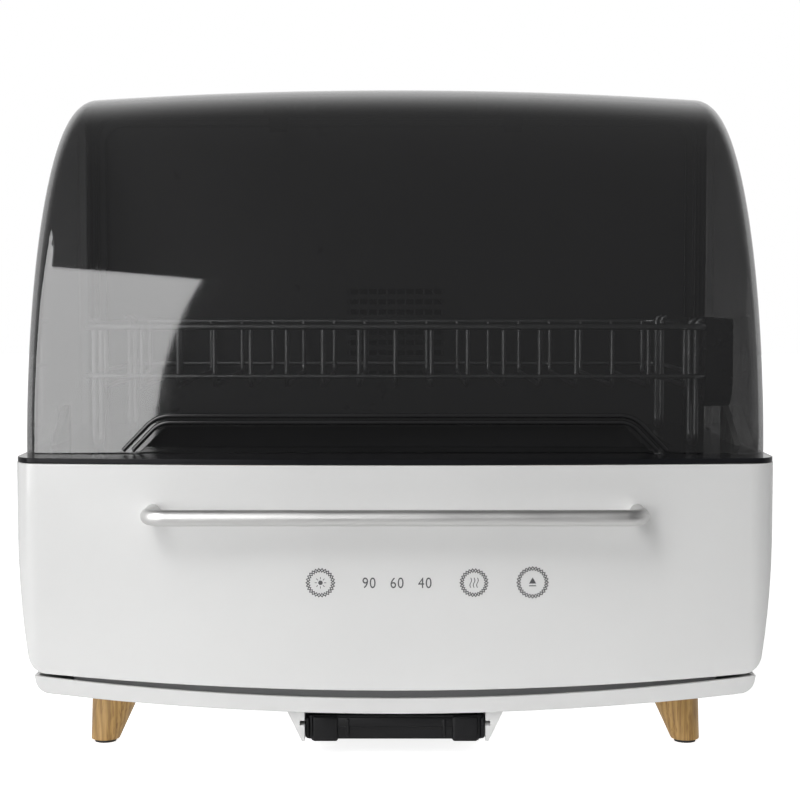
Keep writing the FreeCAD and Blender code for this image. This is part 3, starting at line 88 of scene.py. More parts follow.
studio = dict(backdrop=1.0, behind=1.0, around=0.15,
              # the paper's fade along each axis: start, end, share before it, share after it
              paperFade=dict(Y=(-0.25, 0.55, 0, 1), Z=(0.35, 0.78, 1, 0)),
              floorSize=14.0, floorGlow=0.29, paperGlow=0.55, floorFade=(-0.85, -0.25), frontShare=0.12)


def addWorld():
    world = bpy.data.worlds.new("whiteStudio")
    bpy.context.scene.world = world
    world.use_nodes = True
    tree = world.node_tree
    tree.nodes.clear()
    point = tree.nodes.new("ShaderNodeTexCoord")
    split = tree.nodes.new("ShaderNodeSeparateXYZ")
    tree.links.new(point.outputs["Generated"], split.inputs[0])
    # the white paper stands behind the cabinet and ends well above it
    share = []
    for socket, limits in studio["paperFade"].items():
        fade = tree.nodes.new("ShaderNodeMapRange")
        fade.interpolation_type = "SMOOTHSTEP"
        for name, amount in zip(("From Min", "From Max", "To Min", "To Max"), limits):
            fade.inputs[name].default_value = amount
        tree.links.new(split.outputs[socket], fade.inputs["Value"])
        share.append(fade.outputs["Result"])
    paper = tree.nodes.new("ShaderNodeMath")
    paper.operation = "MULTIPLY"
    tree.links.new(share[0], paper.inputs[0])
    tree.links.new(share[1], paper.inputs[1])
    level = tree.nodes.new("ShaderNodeMapRange")
    level.inputs["To Min"].default_value = studio["around"]
    level.inputs["To Max"].default_value = studio["behind"]
    tree.links.new(paper.outputs[0], level.inputs["Value"])
    light = tree.nodes.new("ShaderNodeBackground")
    tree.links.new(level.outputs["Result"], light.inputs["Strength"])
    shown = tree.nodes.new("ShaderNodeBackground")
    shown.inputs["Strength"].default_value = studio["backdrop"]
    for background in (light, shown):
        background.inputs["Color"].default_value = (1, 1, 1, 1)
    # the backdrop is shown even and white, while the object is lit by the paper alone
    ray = tree.nodes.new("ShaderNodeLightPath")
    either = tree.nodes.new("ShaderNodeMixShader")
    tree.links.new(ray.outputs["Is Camera Ray"], either.inputs["Fac"])
    tree.links.new(light.outputs[0], either.inputs[1])
    tree.links.new(shown.outputs[0], either.inputs[2])
    output = tree.nodes.new("ShaderNodeOutputWorld")
    tree.links.new(either.outputs[0], output.inputs["Surface"])


addCamera()
for name, box in softboxes.items():
    addSoftbox(name, **box)
addWorld()
settings = bpy.context.scene.view_settings
settings.view_transform = "Standard"
settings.look = "None"
print("camera and lights placed")


# Material building blocks

def addNode(material, kind, settings=None, inputs=None):
    node = material.node_tree.nodes.new(kind)
    for name, amount in (settings or {}).items():
        setattr(node, name, amount)
    for name, amount in (inputs or {}).items():
        if isinstance(amount, bpy.types.NodeSocket):
            material.node_tree.links.new(amount, node.inputs[name])
        else:
            node.inputs[name].default_value = amount
    return node


def shade(material, **inputs):
    shader = material.node_tree.nodes["Principled BSDF"]
    for name, amount in inputs.items():
        socket = shader.inputs[name.replace("_", " ")]
        if isinstance(amount, bpy.types.NodeSocket):
            material.node_tree.links.new(amount, socket)
        else:
            socket.default_value = amount


def newMaterial(name):
    material = bpy.data.materials.new(name)
    material.use_nodes = True
    return material


def surfacePoint(material, scale=(1, 1, 1), turn=(0, 0, 0), shift=(0, 0, 0)):
    coordinates = addNode(material, "ShaderNodeTexCoord")
    mapping = addNode(material, "ShaderNodeMapping", inputs={
        "Vector": coordinates.outputs["Object"], "Location": shift, "Rotation": turn, "Scale": scale})
    return mapping.outputs["Vector"]


def noise(material, point, scale, detail=3.0, roughness=0.55):
    return addNode(material, "ShaderNodeTexNoise", inputs={
        "Vector": point, "Scale": scale, "Detail": detail, "Roughness": roughness}).outputs["Fac"]


def spread(material, amount, low, high, fromLow=0.3, fromHigh=0.7):
    return addNode(material, "ShaderNodeMapRange", inputs={
        "Value": amount, "From Min": fromLow, "From Max": fromHigh, "To Min": low,
        "To Max": high}).outputs["Result"]


def calculate(material, operation, *amounts):
    return addNode(material, "ShaderNodeMath", dict(operation=operation), dict(enumerate(amounts))).outputs[0]


def mixColors(material, factor, first, second, blend="MIX"):
    # the colours go in at sockets 6 and 7 and come out at 2, as other sockets share their names
    return addNode(material, "ShaderNodeMix", dict(data_type="RGBA", blend_type=blend), {
        "Factor": factor, 6: first, 7: second}).outputs[2]


def tones(material, amount, stops):
    ramp = addNode(material, "ShaderNodeValToRGB", inputs={"Fac": amount})
    elements = ramp.color_ramp.elements
    for _ in range(len(stops) - 2):
        elements.new(0.5)
    for element, (place, color) in zip(elements, stops):
        element.position = place
        element.color = (*color, 1)
    return ramp.outputs["Color"]


def relief(material, height, strength, distance=0.0002, normal=None):
    inputs = {"Height": height, "Strength": strength, "Distance": distance}
    if normal:
        inputs["Normal"] = normal
    return addNode(material, "ShaderNodeBump", inputs=inputs).outputs["Normal"]


def easedEdge(material, radius):
    return addNode(material, "ShaderNodeBevel", dict(samples=4), {"Radius": radius}).outputs["Normal"]


def mouldedPlastic(name, color, vary=0.02, roughness=(0.18, 0.26), grain=900, grainDepth=0.05,
                   rippleDepth=0.02, coat=0.0, edge=0.0007, shine=0.5):
    # faint cloudy tone, uneven gloss, fine grain, slow mould ripple and softened edges
    material = newMaterial(name)
    point = surfacePoint(material)
    cloud = noise(material, point, scale=9, detail=4)
    darker = tuple(channel * (1 - vary) for channel in color)
    lighter = tuple(min(channel * (1 + vary), 1) for channel in color)
    smudge = noise(material, point, scale=22, detail=5, roughness=0.65)
    fine = noise(material, point, grain, detail=2)
    slow = noise(material, point, scale=35, detail=1)
    rippled = relief(material, slow, rippleDepth, distance=0.002, normal=easedEdge(material, edge))
    shade(material,
          Base_Color=tones(material, cloud, [(0.3, darker), (0.7, lighter)]),
          Roughness=spread(material, smudge, *roughness),
          Normal=relief(material, fine, grainDepth, distance=0.00015, normal=rippled),
          IOR=1.5, Specular_IOR_Level=shine, Coat_Weight=coat, Coat_Roughness=0.05)
    return material


materials = {
    "shellWhite": mouldedPlastic("glossWhitePlastic", (0.80, 0.80, 0.795), coat=0.25),
    "panWhite": mouldedPlastic("satinWhitePlastic", (0.76, 0.76, 0.755), roughness=(0.28, 0.38)),
    "deckBlack": mouldedPlastic("glossBlackDeck", (0.012, 0.012, 0.014), vary=0.2,
                                roughness=(0.10, 0.20), shine=0.14),
    "rearBlack": mouldedPlastic("glossBlackRear", (0.010, 0.010, 0.011), vary=0.2,
                                roughness=(0.16, 0.26), shine=0.4),
    "trayBlack": mouldedPlastic("satinBlackTray", (0.006, 0.006, 0.007), vary=0.25,
                                roughness=(0.26, 0.40), grain=1400, grainDepth=0.10, shine=0.25),
    "innerGrey": mouldedPlastic("mattGreyPlastic", (0.40, 0.405, 0.41), vary=0.04,
                                roughness=(0.42, 0.55), grain=1500, grainDepth=0.2),
    "runnerGrey": mouldedPlastic("slidingAcetal", (0.20, 0.205, 0.21), vary=0.06,
                                 roughness=(0.3, 0.45), grain=700, grainDepth=0.15),
    # the pan's lip is given a mid grey as painted shade, as it sits in the gap's shadow
    "lipPaintedShade": mouldedPlastic("paintedShadeLip", (0.24, 0.24, 0.245), vary=0.05,
                              roughness=(0.42, 0.55), grain=1500, grainDepth=0.2),
    "guideNylon": mouldedPlastic("naturalNylon", (0.66, 0.66, 0.64), vary=0.05,
                                 roughness=(0.22, 0.34), grain=900, grainDepth=0.1),
    "beadBlack": mouldedPlastic("polishedBead", (0.020, 0.020, 0.021), vary=0.2,
                                roughness=(0.08, 0.14), rippleDepth=0.0, edge=0.0),
    "rearPanelGrey": mouldedPlastic("satinRearPanel", (0.056, 0.056, 0.057), vary=0.03,
                                    roughness=(0.27, 0.31), grain=1000, grainDepth=0.1, edge=0.0012),
    # near-black borders, darker than the panel they belong to: painted shade along the panel's recess edges
    "panelEdgePaintedShade": mouldedPlastic("paintedShadePanelEdge", (0.004, 0.004, 0.004), vary=0.1,
                                roughness=(0.10, 0.18), grain=1000, grainDepth=0.05, edge=0.0),
    "footRubber": mouldedPlastic("padRubber", (0.022, 0.022, 0.022), vary=0.25,
                                 roughness=(0.65, 0.85), grain=1100, grainDepth=0.35),
    "motorBlack": mouldedPlastic("fanPlastic", (0.020, 0.020, 0.022), vary=0.2,
                                 roughness=(0.35, 0.5), grain=900, grainDepth=0.2),
    "heaterMica": mouldedPlastic("heaterMica", (0.34, 0.27, 0.16), vary=0.25,
                                 roughness=(0.35, 0.6), grain=300, grainDepth=0.4),
}


def brushedMetal(name, color, along, roughness):
    # fine brush lines along one axis and faint handling marks
    material = newMaterial(name)
    stretch = dict(X=380.0, Y=380.0, Z=380.0)
    stretch[along] = 5.0
    brushPoint = surfacePoint(material, tuple(stretch.values()))
    lines = noise(material, brushPoint, scale=2.4, detail=4, roughness=0.6)
    handling = noise(material, surfacePoint(material), scale=28, detail=5, roughness=0.7)
    uneven = calculate(material, "ADD", lines, handling)
    darker = tuple(channel * 0.90 for channel in color)
    shade(material,
          Base_Color=tones(material, lines, [(0.3, darker), (0.7, color)]),
          Metallic=1.0,
          Roughness=spread(material, uneven, *roughness, fromLow=0.75, fromHigh=1.25),
          Normal=relief(material, lines, strength=0.12, distance=0.00006))
    return material


def platedWire(name, color, roughness):
    # plating over drawn wire, with faint specks
    material = newMaterial(name)
    point = surfacePoint(material)
    cloud = noise(material, point, scale=60, detail=4)
    specks = noise(material, point, scale=420, detail=3, roughness=0.7)
    darker = tuple(channel * 0.8 for channel in color)
    shade(material,
          Base_Color=tones(material, cloud, [(0.35, darker), (0.65, color)]),
          Metallic=1.0,
          Roughness=spread(material, specks, *roughness),
          Normal=relief(material, specks, strength=0.08, distance=0.00005))
    return material


def smokedLid(name, tint, opacity, rim):
    # smoked clear plastic: a dark tint that closes up towards its edges, with faint wipe marks
    material = newMaterial(name)
    cloud = noise(material, surfacePoint(material), scale=7, detail=3)
    wipePoint = surfacePoint(material, scale=(30, 6, 6), turn=(0.3, 0.2, 0.5))
    wipes = noise(material, wipePoint, scale=3.0, detail=5, roughness=0.7)
    facing = addNode(material, "ShaderNodeLayerWeight", inputs={"Blend": 0.25}).outputs["Facing"]
    darker = tuple(channel * 0.8 for channel in tint)
    shade(material,
          Base_Color=tones(material, cloud, [(0.35, darker), (0.65, tint)]),
          Roughness=spread(material, wipes, 0.015, 0.05),
          Alpha=spread(material, facing, opacity, rim, fromLow=0.0, fromHigh=1.0),
          Normal=relief(material, cloud, strength=0.02, distance=0.002),
          Specular_IOR_Level=1.0, IOR=1.70)
    return material


def oiledOak(name):
    # light oak turned from one blank: long grain, a cathedral figure, pores and an oil sheen
    material = newMaterial(name)
    figurePoint = surfacePoint(material, scale=(26, 26, 4.2), turn=(0.0, 0.10, 0.35), shift=(0.013, 0.0, 0.0))
    warp = noise(material, surfacePoint(material, (9, 9, 5)), scale=2.0, detail=3)
    figure = addNode(material, "ShaderNodeTexWave", dict(wave_type="RINGS", rings_direction="Z"), {
        "Vector": figurePoint, "Scale": 3.4, "Distortion": 4.0, "Detail": 3.0,
        "Detail Scale": 1.6, "Detail Roughness": 0.6}).outputs["Fac"]
    fibres = noise(material, surfacePoint(material, (520, 520, 16)), scale=1.0, detail=4, roughness=0.6)
    pores = noise(material, surfacePoint(material, (900, 900, 42)), scale=1.0, detail=2)
    grain = calculate(material, "MULTIPLY_ADD", fibres, 0.45, figure)
    grain = calculate(material, "MULTIPLY_ADD", warp, 0.5, grain)
    wood = tones(material, spread(material, grain, 0.0, 1.0, fromLow=0.35, fromHigh=1.45), [
        (0.0, (0.300, 0.168, 0.046)), (0.3, (0.375, 0.214, 0.060)), (0.62, (0.430, 0.252, 0.074)),
        (1.0, (0.490, 0.300, 0.098))])
    poreShare = spread(material, pores, 0.55, 0.0, fromLow=0.36, fromHigh=0.46)
    raised = relief(material, fibres, strength=0.12, distance=0.0001)
    shade(material,
          Base_Color=mixColors(material, poreShare, wood, (0.42, 0.30, 0.20, 1), "MULTIPLY"),
          Roughness=spread(material, fibres, 0.36, 0.55),
          Normal=relief(material, pores, strength=0.25, distance=0.00012, normal=raised),
          Coat_Weight=0.12, Coat_Roughness=0.3)
    return material


def circuitBoard(name):
    # green lacquer over copper tracks, with lighter tinned spots
    material = newMaterial(name)
    point = surfacePoint(material)
    tracks = addNode(material, "ShaderNodeTexBrick", inputs={
        "Vector": surfacePoint(material, turn=(math.pi / 2, 0, 0)), "Scale": 90.0,
        "Mortar Size": 0.012, "Color1": (0.012, 0.075, 0.035, 1), "Color2": (0.016, 0.095, 0.045, 1),
        "Mortar": (0.035, 0.17, 0.085, 1)}).outputs["Color"]
    spots = addNode(material, "ShaderNodeTexVoronoi", inputs={"Vector": point, "Scale": 210.0})
    isSpot = spread(material, spots.outputs["Distance"], 1.0, 0.0, fromLow=0.16, fromHigh=0.20)
    shade(material,
          Base_Color=mixColors(material, isSpot, tracks, (0.55, 0.56, 0.55, 1)),
          Roughness=spread(material, noise(material, point, scale=80), 0.25, 0.4),
          Normal=relief(material, isSpot, strength=0.3, distance=0.0003))
    return material


def quartzTube(name):
    # clear quartz with a faint violet cast and long streaks
    material = newMaterial(name)
    cloud = noise(material, surfacePoint(material, (8, 60, 60)), scale=2.0, detail=3)
    shade(material,
          Base_Color=tones(material, cloud, [(0.3, (0.70, 0.73, 0.86)), (0.7, (0.82, 0.84, 0.93))]),
          Roughness=spread(material, cloud, 0.03, 0.09), Alpha=0.5, IOR=1.46)
    return material


materials.update({
    "lidSmoke": smokedLid("smokedPlastic", (0.012, 0.012, 0.013), 0.44, 0.97),
    "handleSteel": brushedMetal("brushedHandle", (0.66, 0.657, 0.65), "X", roughness=(0.38, 0.50)),
    "fastenerSteel": brushedMetal("zincFasteners", (0.50, 0.50, 0.51), "Z", roughness=(0.3, 0.5)),
    "rackChrome": platedWire("platedWire", (0.42, 0.425, 0.43), (0.28, 0.40)),
    "padCopper": brushedMetal("copperPads", (0.72, 0.42, 0.26), "X", roughness=(0.3, 0.5)),
    "heaterAluminium": brushedMetal("heaterFins", (0.12, 0.12, 0.125), "Z", roughness=(0.45, 0.6)),
    "footOak": oiledOak("oiledOak"),
    "boardGreen": circuitBoard("circuitBoard"),
    "lampGlass": quartzTube("quartzTube"),
    "basketBlack": mouldedPlastic("basketPlastic", (0.014, 0.014, 0.015), vary=0.25,
                                  roughness=(0.2, 0.34), grain=1200, grainDepth=0.1),
})

slotMaterials = {
    "shell_white": "shellWhite", "deck_black": "deckBlack", "pan_white": "panWhite",
    "lid_smoke": "lidSmoke", "rear_black": "rearBlack", "foot_oak": "footOak",
    "foot_rubber": "footRubber", "handle_steel": "handleSteel", "rack_chrome": "rackChrome",
    "fastener_steel": "fastenerSteel", "tray_black": "trayBlack", "inner_grey": "innerGrey",
    "runner_grey": "runnerGrey", "board_green": "boardGreen", "pad_copper": "padCopper",
    "motor_black": "motorBlack", "heater_aluminium": "heaterAluminium",
    "heater_mica": "heaterMica", "lamp_glass": "lampGlass", "basket_black": "basketBlack",
}
for part in frame["record"]["subparts"]:
    for slot in nodes[part["node"]].material_slots:
        slot.material = materials[slotMaterials[part["material_slot"]]]
for node, name in (("lid_guide_left", "guideNylon"), ("lid_guide_right", "guideNylon"),
                   ("rear_panel", "rearPanelGrey")):
    nodes[node].material_slots[0].material = materials[name]
print("materials made and given to the CAD nodes")


# Floor

def addFloor():
    made = bmesh.new()
    bmesh.ops.create_grid(made, x_segments=1, y_segments=1, size=studio["floorSize"] / 2)
    mesh = bpy.data.meshes.new("studioFloor")
    made.to_mesh(mesh)
    made.free()
    floor = bpy.data.objects.new("studioFloor", mesh)
    bpy.context.collection.objects.link(floor)
    material = newMaterial("paleFloor")
    point = surfacePoint(material)
    cloud = noise(material, point, scale=3, detail=4)
    pale = tones(material, cloud, [(0.3, (0.90, 0.90, 0.90)), (0.7, (0.92, 0.92, 0.92))])
    # the paper in front of the cabinet lies in the dark half of the studio, though it is shown white
    along = addNode(material, "ShaderNodeSeparateXYZ", inputs={0: point}).outputs["Y"]
    lit = spread(material, along, studio["frontShare"], 1.0, *studio["floorFade"])
    shown = addNode(material, "ShaderNodeLightPath").outputs["Is Camera Ray"]
    amount = calculate(material, "MAXIMUM", lit, shown)
    bright = calculate(material, "MULTIPLY", amount, studio["floorGlow"])
    shade(material,
          Base_Color=mixColors(material, amount, (0, 0, 0, 1), pale),
          Roughness=spread(material, noise(material, point, scale=40), 0.55, 0.7),
          Emission_Color=(1, 1, 1, 1),
          Emission_Strength=calculate(material, "MULTIPLY_ADD", shown, studio["paperGlow"], bright))
    mesh.materials.append(material)


addFloor()


# Shaping helpers

def turned(degrees, axis):
    return Matrix.Rotation(math.radians(degrees), 3, axis)


def finish(made, name, material, body, smoothAngle=40):
    bmesh.ops.recalc_face_normals(made, faces=made.faces)
    mesh = bpy.data.meshes.new(name)
    made.to_mesh(mesh)
    made.free()
    mesh.shade_smooth()
    mesh.set_sharp_from_angle(angle=math.radians(smoothAngle))
    mesh.materials.append(materials[material])
    piece = bpy.data.objects.new(name, mesh)
    bpy.context.collection.objects.link(piece)
    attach(piece, body)
    return piece


def linkedEdges(verts):
    # each edge once, in a fixed order
    return list(dict.fromkeys(edge for vert in verts for edge in vert.link_edges))


def openEnd(grown):
    return [item for item in grown if isinstance(item, bmesh.types.BMEdge) and len(item.link_faces) == 1]


def drawWire(made, start, facing, radius, moves, segments=16):
    # a round section run along straight stretches ("go") and bends ("turn")
    ring = bmesh.ops.create_circle(made, cap_ends=False, radius=radius, segments=segments)["verts"]
    bmesh.ops.rotate(made, verts=ring, cent=(0, 0, 0), matrix=facing)
    bmesh.ops.translate(made, verts=ring, vec=start)
    edges = linkedEdges(ring)
    ends = [edges]
    for move in moves:
        if move[0] == "go":
            grown = bmesh.ops.extrude_edge_only(made, edges=edges)["geom"]
            tips = [item for item in grown if isinstance(item, bmesh.types.BMVert)]
            bmesh.ops.translate(made, verts=tips, vec=move[1])
        else:
            center, axis, angle, steps = move[1:]
            grown = bmesh.ops.spin(made, geom=edges, cent=center, axis=axis, angle=math.radians(angle),
                                   steps=steps, use_merge=False)["geom_last"]
        edges = openEnd(grown)
    ends.append(edges)
    for end in ends:
        bmesh.ops.edgenet_fill(made, edges=end)


def block(made, low, high, bevel=0.0, segments=3):
    # a box between two corners with its edges eased
    low, high = Vector(low), Vector(high)
    grown = bmesh.ops.create_cube(made, size=1)["verts"]
    bmesh.ops.scale(made, verts=grown, vec=high - low)
    bmesh.ops.translate(made, verts=grown, vec=(low + high) / 2)
    if bevel:
        bmesh.ops.bevel(made, geom=linkedEdges(grown), offset=bevel, segments=segments, profile=0.5,
                        affect="EDGES", clamp_overlap=True, material=-1)


cleaning = dict(mergeWithin=0.00001, shortest=0.000005, flatWithin=0.3, sharpFrom=50)


def easedCopy(node, name, width, segments, material, body, below=math.inf):
    # the node's own shape with its sharp edges rounded over, or only those that lie below a height
    made = bmesh.new()
    made.from_mesh(nodes[node].data)
    bmesh.ops.remove_doubles(made, verts=made.verts, dist=cleaning["mergeWithin"])
    bmesh.ops.dissolve_degenerate(made, dist=cleaning["shortest"], edges=made.edges)
    bmesh.ops.dissolve_limit(made, angle_limit=math.radians(cleaning["flatWithin"]), verts=made.verts,
                             edges=made.edges, use_dissolve_boundaries=False)
    sharp = [edge for edge in made.edges if len(edge.link_faces) == 2
             and edge.calc_face_angle(0) > math.radians(cleaning["sharpFrom"])
             and max(vert.co.z for vert in edge.verts) < below]
    bmesh.ops.bevel(made, geom=sharp, offset=width, segments=segments, profile=0.5, affect="EDGES",
                    clamp_overlap=True, material=-1)
    piece = finish(made, name, material, body)
    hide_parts(node)


# Handle: a satin round bar whose ends bend back into the front

handle = dict(radius=0.005, half=0.151, bend=0.011, barDepth=-0.185, footDepth=-0.1544, height=0.157,
              segments=48, bendSteps=18)


def addHandle():
    half, bend, z, steps = handle["half"], handle["bend"], handle["height"], handle["bendSteps"]
    bar, foot = handle["barDepth"], handle["footDepth"]
    made = bmesh.new()
    drawWire(made, (-half, foot, z), turned(90, "X"), handle["radius"], [
        ("go", (0, bar + bend - foot, 0)),
        ("turn", (-half + bend, bar + bend, z), (0, 0, 1), 90, steps),
        ("go", (2 * (half - bend), 0, 0)),
        ("turn", (half - bend, bar + bend, z), (0, 0, 1), 90, steps),
        ("go", (0, foot - bar - bend, 0)),
    ], handle["segments"])
    piece = finish(made, "handleBar", "handleSteel", "drawer")
    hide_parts("handle_bar")


addHandle()
print("handle made")


# Printed marks of the touch keys, on the bowed front

marks = dict(height=0.1133, bow=2.215, frontLine=-0.160, proud=0.00006,
             # each number and its place
             digits=[("90", -0.0162), ("60", 0.0012), ("40", 0.0186)],
             digitHeight=0.00665, digitWidth=0.86, digitSpacing=1.12,
             # each ring's key, place, radius and teeth
             rings=[("Lamp", -0.0464, 0.0094, 26), ("Air", 0.0492, 0.0092, 26),
                    ("Start", 0.0857, 0.0103, 28)],
             rows=2, rowStep=0.00105, lineWidth=0.00090, toothDepth=0.00118)

icons = dict(sunRadius=0.0014, sunSides=32, rays=8, rayReach=0.0029, rayLength=0.0014, rayWidth=0.00042,
             waveSpots=(-0.0021, 0, 0.0021), waveLength=0.0062, waveWidth=0.0005, waveSwing=0.0005,
             waveSteps=14,
             arrowRadius=0.0026, arrowLift=0.0006, barDrop=0.0021, barLength=0.0044, barWidth=0.0006)


def onFront(made, x):
    # lay a mark that was drawn on the XY plane against the front at x
    tilt = math.asin(x / marks["bow"])
    y = marks["frontLine"] + marks["bow"] * (1 - math.cos(tilt)) - marks["proud"]
    upright = Matrix.Rotation(math.radians(90), 4, "X")
    place = Matrix.Translation((x, y, marks["height"])) @ Matrix.Rotation(tilt, 4, "Z") @ upright
    bmesh.ops.transform(made, matrix=place, verts=made.verts)


def toothedBand(made, radius, teeth, phase):
    # a zigzag line between two circles, each with every other point pulled inwards
    rims = []
    for size in (radius, radius - marks["lineWidth"]):
        rim = bmesh.ops.create_circle(made, cap_ends=False, radius=size, segments=2 * teeth)["verts"]
        steps = [round(math.atan2(vert.co.y, vert.co.x) / math.pi * teeth) for vert in rim]
        inner = [vert for vert, step in zip(rim, steps) if (step + phase) % 2]
        bmesh.ops.scale(made, verts=inner, vec=(1 - marks["toothDepth"] / size,) * 3)
        rims += linkedEdges(rim)
    bmesh.ops.bridge_loops(made, edges=rims)


def strip(made, length, width, place, turn=0.0, wave=0.0):
    # a slim flat bar, straight or wavy
    grown = bmesh.ops.create_grid(made, x_segments=1, y_segments=icons["waveSteps"], size=0.5)["verts"]
    bmesh.ops.scale(made, verts=grown, vec=(width, length, 1))
    for vert in grown:
        vert.co.x += wave * math.sin(vert.co.y / length * math.tau)
    bmesh.ops.rotate(made, verts=grown, cent=(0, 0, 0), matrix=turned(turn, "Z"))
    bmesh.ops.translate(made, verts=grown, vec=(*place, 0))


def addIcon(made, name):
    if name == "Lamp":  # a small sun
        bmesh.ops.create_circle(made, cap_ends=True, radius=icons["sunRadius"], segments=icons["sunSides"])
        for i in range(icons["rays"]):
            angle, reach = i * math.tau / icons["rays"], icons["rayReach"]
            strip(made, icons["rayLength"], icons["rayWidth"],
                  (reach * math.cos(angle), reach * math.sin(angle)), math.degrees(angle) - 90)
    elif name == "Air":  # three rising waves
        for x in icons["waveSpots"]:
            strip(made, icons["waveLength"], icons["waveWidth"], (x, 0), wave=icons["waveSwing"])
    else:  # a triangle over a bar
        arrow = bmesh.ops.create_circle(made, cap_ends=True, radius=icons["arrowRadius"], segments=3)["verts"]
        bmesh.ops.translate(made, verts=arrow, vec=(0, icons["arrowLift"], 0))
        strip(made, icons["barLength"], icons["barWidth"], (0, -icons["barDrop"]), 90)


def addMarks():
    for name, x, radius, teeth in marks["rings"]:
        made = bmesh.new()
        for row in range(marks["rows"]):
            toothedBand(made, radius - row * marks["rowStep"], teeth, row)
        addIcon(made, name)
        onFront(made, x)
        finish(made, "keyRing" + name, "keyInk", "drawer")
    for text, x in marks["digits"]:
        letters = bpy.data.curves.new("digits", "FONT")
        letters.body = text
        letters.align_x = "CENTER"
        letters.space_character = marks["digitSpacing"]
        holder = bpy.data.objects.new("digits", letters)
        bpy.context.collection.objects.link(holder)
        made = bmesh.new()
        made.from_mesh(bpy.data.meshes.new_from_object(holder))
        bpy.data.objects.remove(holder)
        heights = [vert.co.y for vert in made.verts]
        size = marks["digitHeight"] / (max(heights) - min(heights))
        middle = (max(heights) + min(heights)) / 2
        bmesh.ops.translate(made, verts=made.verts, vec=(0, -middle, 0))
        bmesh.ops.scale(made, verts=made.verts, vec=(size * marks["digitWidth"], size, 1))
        onFront(made, x)
        finish(made, "keyDigits" + text, "keyInk", "drawer")


materials["keyInk"] = mouldedPlastic("greyKeyInk", (0.085, 0.085, 0.09), vary=0.15,
                                     roughness=(0.4, 0.5), coat=0.2, edge=0.0)
addMarks()
print("key marks printed")


# Lip of the white pan, seen through the gap under the front, coloured grey as painted shade of the gap

gapLip = dict(reach=5.3, step=0.0392, top=0.0437, front=-0.1562, back=-0.1505, rise=0.0115,
              halfWidth=0.229, wall=0.0012, bowSteps=60)


def addGapLip():
    made = bmesh.new()
    profile = [made.verts.new((0, y, z)) for y, z in (
        (gapLip["front"], gapLip["step"]), (gapLip["back"], gapLip["step"]), (gapLip["back"], gapLip["top"]))]
    edges = [made.edges.new(pair) for pair in zip(profile, profile[1:])]
    center, reach = (0, marks["frontLine"] + marks["bow"], 0), gapLip["reach"]
    bmesh.ops.rotate(made, verts=made.verts, cent=center, matrix=turned(-reach, "Z"))
    bmesh.ops.spin(made, geom=edges, cent=center, axis=(0, 0, 1), angle=math.radians(2 * reach),
                   steps=gapLip["bowSteps"], use_merge=False)
    for vert in made.verts:
        vert.co.z += gapLip["rise"] * (vert.co.x / gapLip["halfWidth"]) ** 2
    bmesh.ops.recalc_face_normals(made, faces=made.faces)
    bmesh.ops.solidify(made, geom=made.faces, thickness=gapLip["wall"])
    finish(made, "panLip", "lipPaintedShade", "cabinet")


addGapLip()
print("gap lip made")


# Drip tray's front: two end blocks, a finger bar between them and two pairs of slim ribs

trayFront = dict(face=-0.1478, root=-0.1440, rows=[
    # middles, half width, set back from the face, low, high, rounding and its segments
    ((-0.0443, 0.0443), 0.00825, 0.0, 0.0100, 0.0262, 0.0018, 5),
    ((-0.0555, 0.0555), 0.0011, 0.0008, 0.0125, 0.0250, 0.0006, 3),
    ((0.0,), 0.03655, 0.0010, 0.0190, 0.0256, 0.0010, 3),
    ((-0.0300, 0.0310), 0.0011, 0.0003, 0.0130, 0.0245, 0.0008, 3),
])


def addTrayFront():
    made = bmesh.new()
    for middles, half, inset, low, high, rounding, segments in trayFront["rows"]:
        for middle in middles:
            block(made, (middle - half, trayFront["face"] + inset, low),
                  (middle + half, trayFront["root"], high), rounding, segments)
    finish(made, "trayFront", "trayBlack", "drip_tray")


addTrayFront()
print("tray front made")


# Double bead round the lid's finger recess

gripBead = dict(radius=0.0015, depth=-0.1168, low=0.1920, high=0.2102, foot=0.1690, slope=46, bend=0.016,
                lines=2, apart=0.0044, segments=14, bendSteps=10)


def addGripBead():
    # two parallel lines, each a diagonal that bends into a level top and down again
    slope, y, low, steps = gripBead["slope"], gripBead["depth"], gripBead["low"], gripBead["bendSteps"]
    angle = math.radians(slope)
    made = bmesh.new()
    for i in range(gripBead["lines"]):
        apart = i * gripBead["apart"]
        bend, high = gripBead["bend"] + apart, gripBead["high"] + apart
        foot = gripBead["foot"] + apart / math.sin(angle)
        run = (high - low - bend * (1 - math.cos(angle))) / math.sin(angle)
        start = Vector((-foot, y, low))
        first = start + Vector((math.cos(angle), 0, math.sin(angle))) * run
        center = first + Vector((math.sin(angle), 0, -math.cos(angle))) * bend
        drawWire(made, start, turned(90 - slope, "Y"), gripBead["radius"], [
            ("go", first - start),
            ("turn", center, (0, 1, 0), slope, steps),
            ("go", (-2 * center.x, 0, 0)),
            ("turn", (-center.x, y, center.z), (0, 1, 0), slope, steps),
            ("go", (first.x - start.x, 0, start.z - first.z)),
        ], gripBead["segments"])
    finish(made, "gripBead", "beadBlack", "lid")


addGripBead()
print("grip bead made")


# Raised borders around the rear panel, seen through the lid, near-black as painted shade along the recess
# edges

panelBorders = dict(depth=0.1362, foot=0.1905, bendSteps=14,
                    # half width, top, bend and radius of each
                    lines=[(0.2335, 0.4300, 0.017, 0.0013), (0.2255, 0.4225, 0.014, 0.0010)])


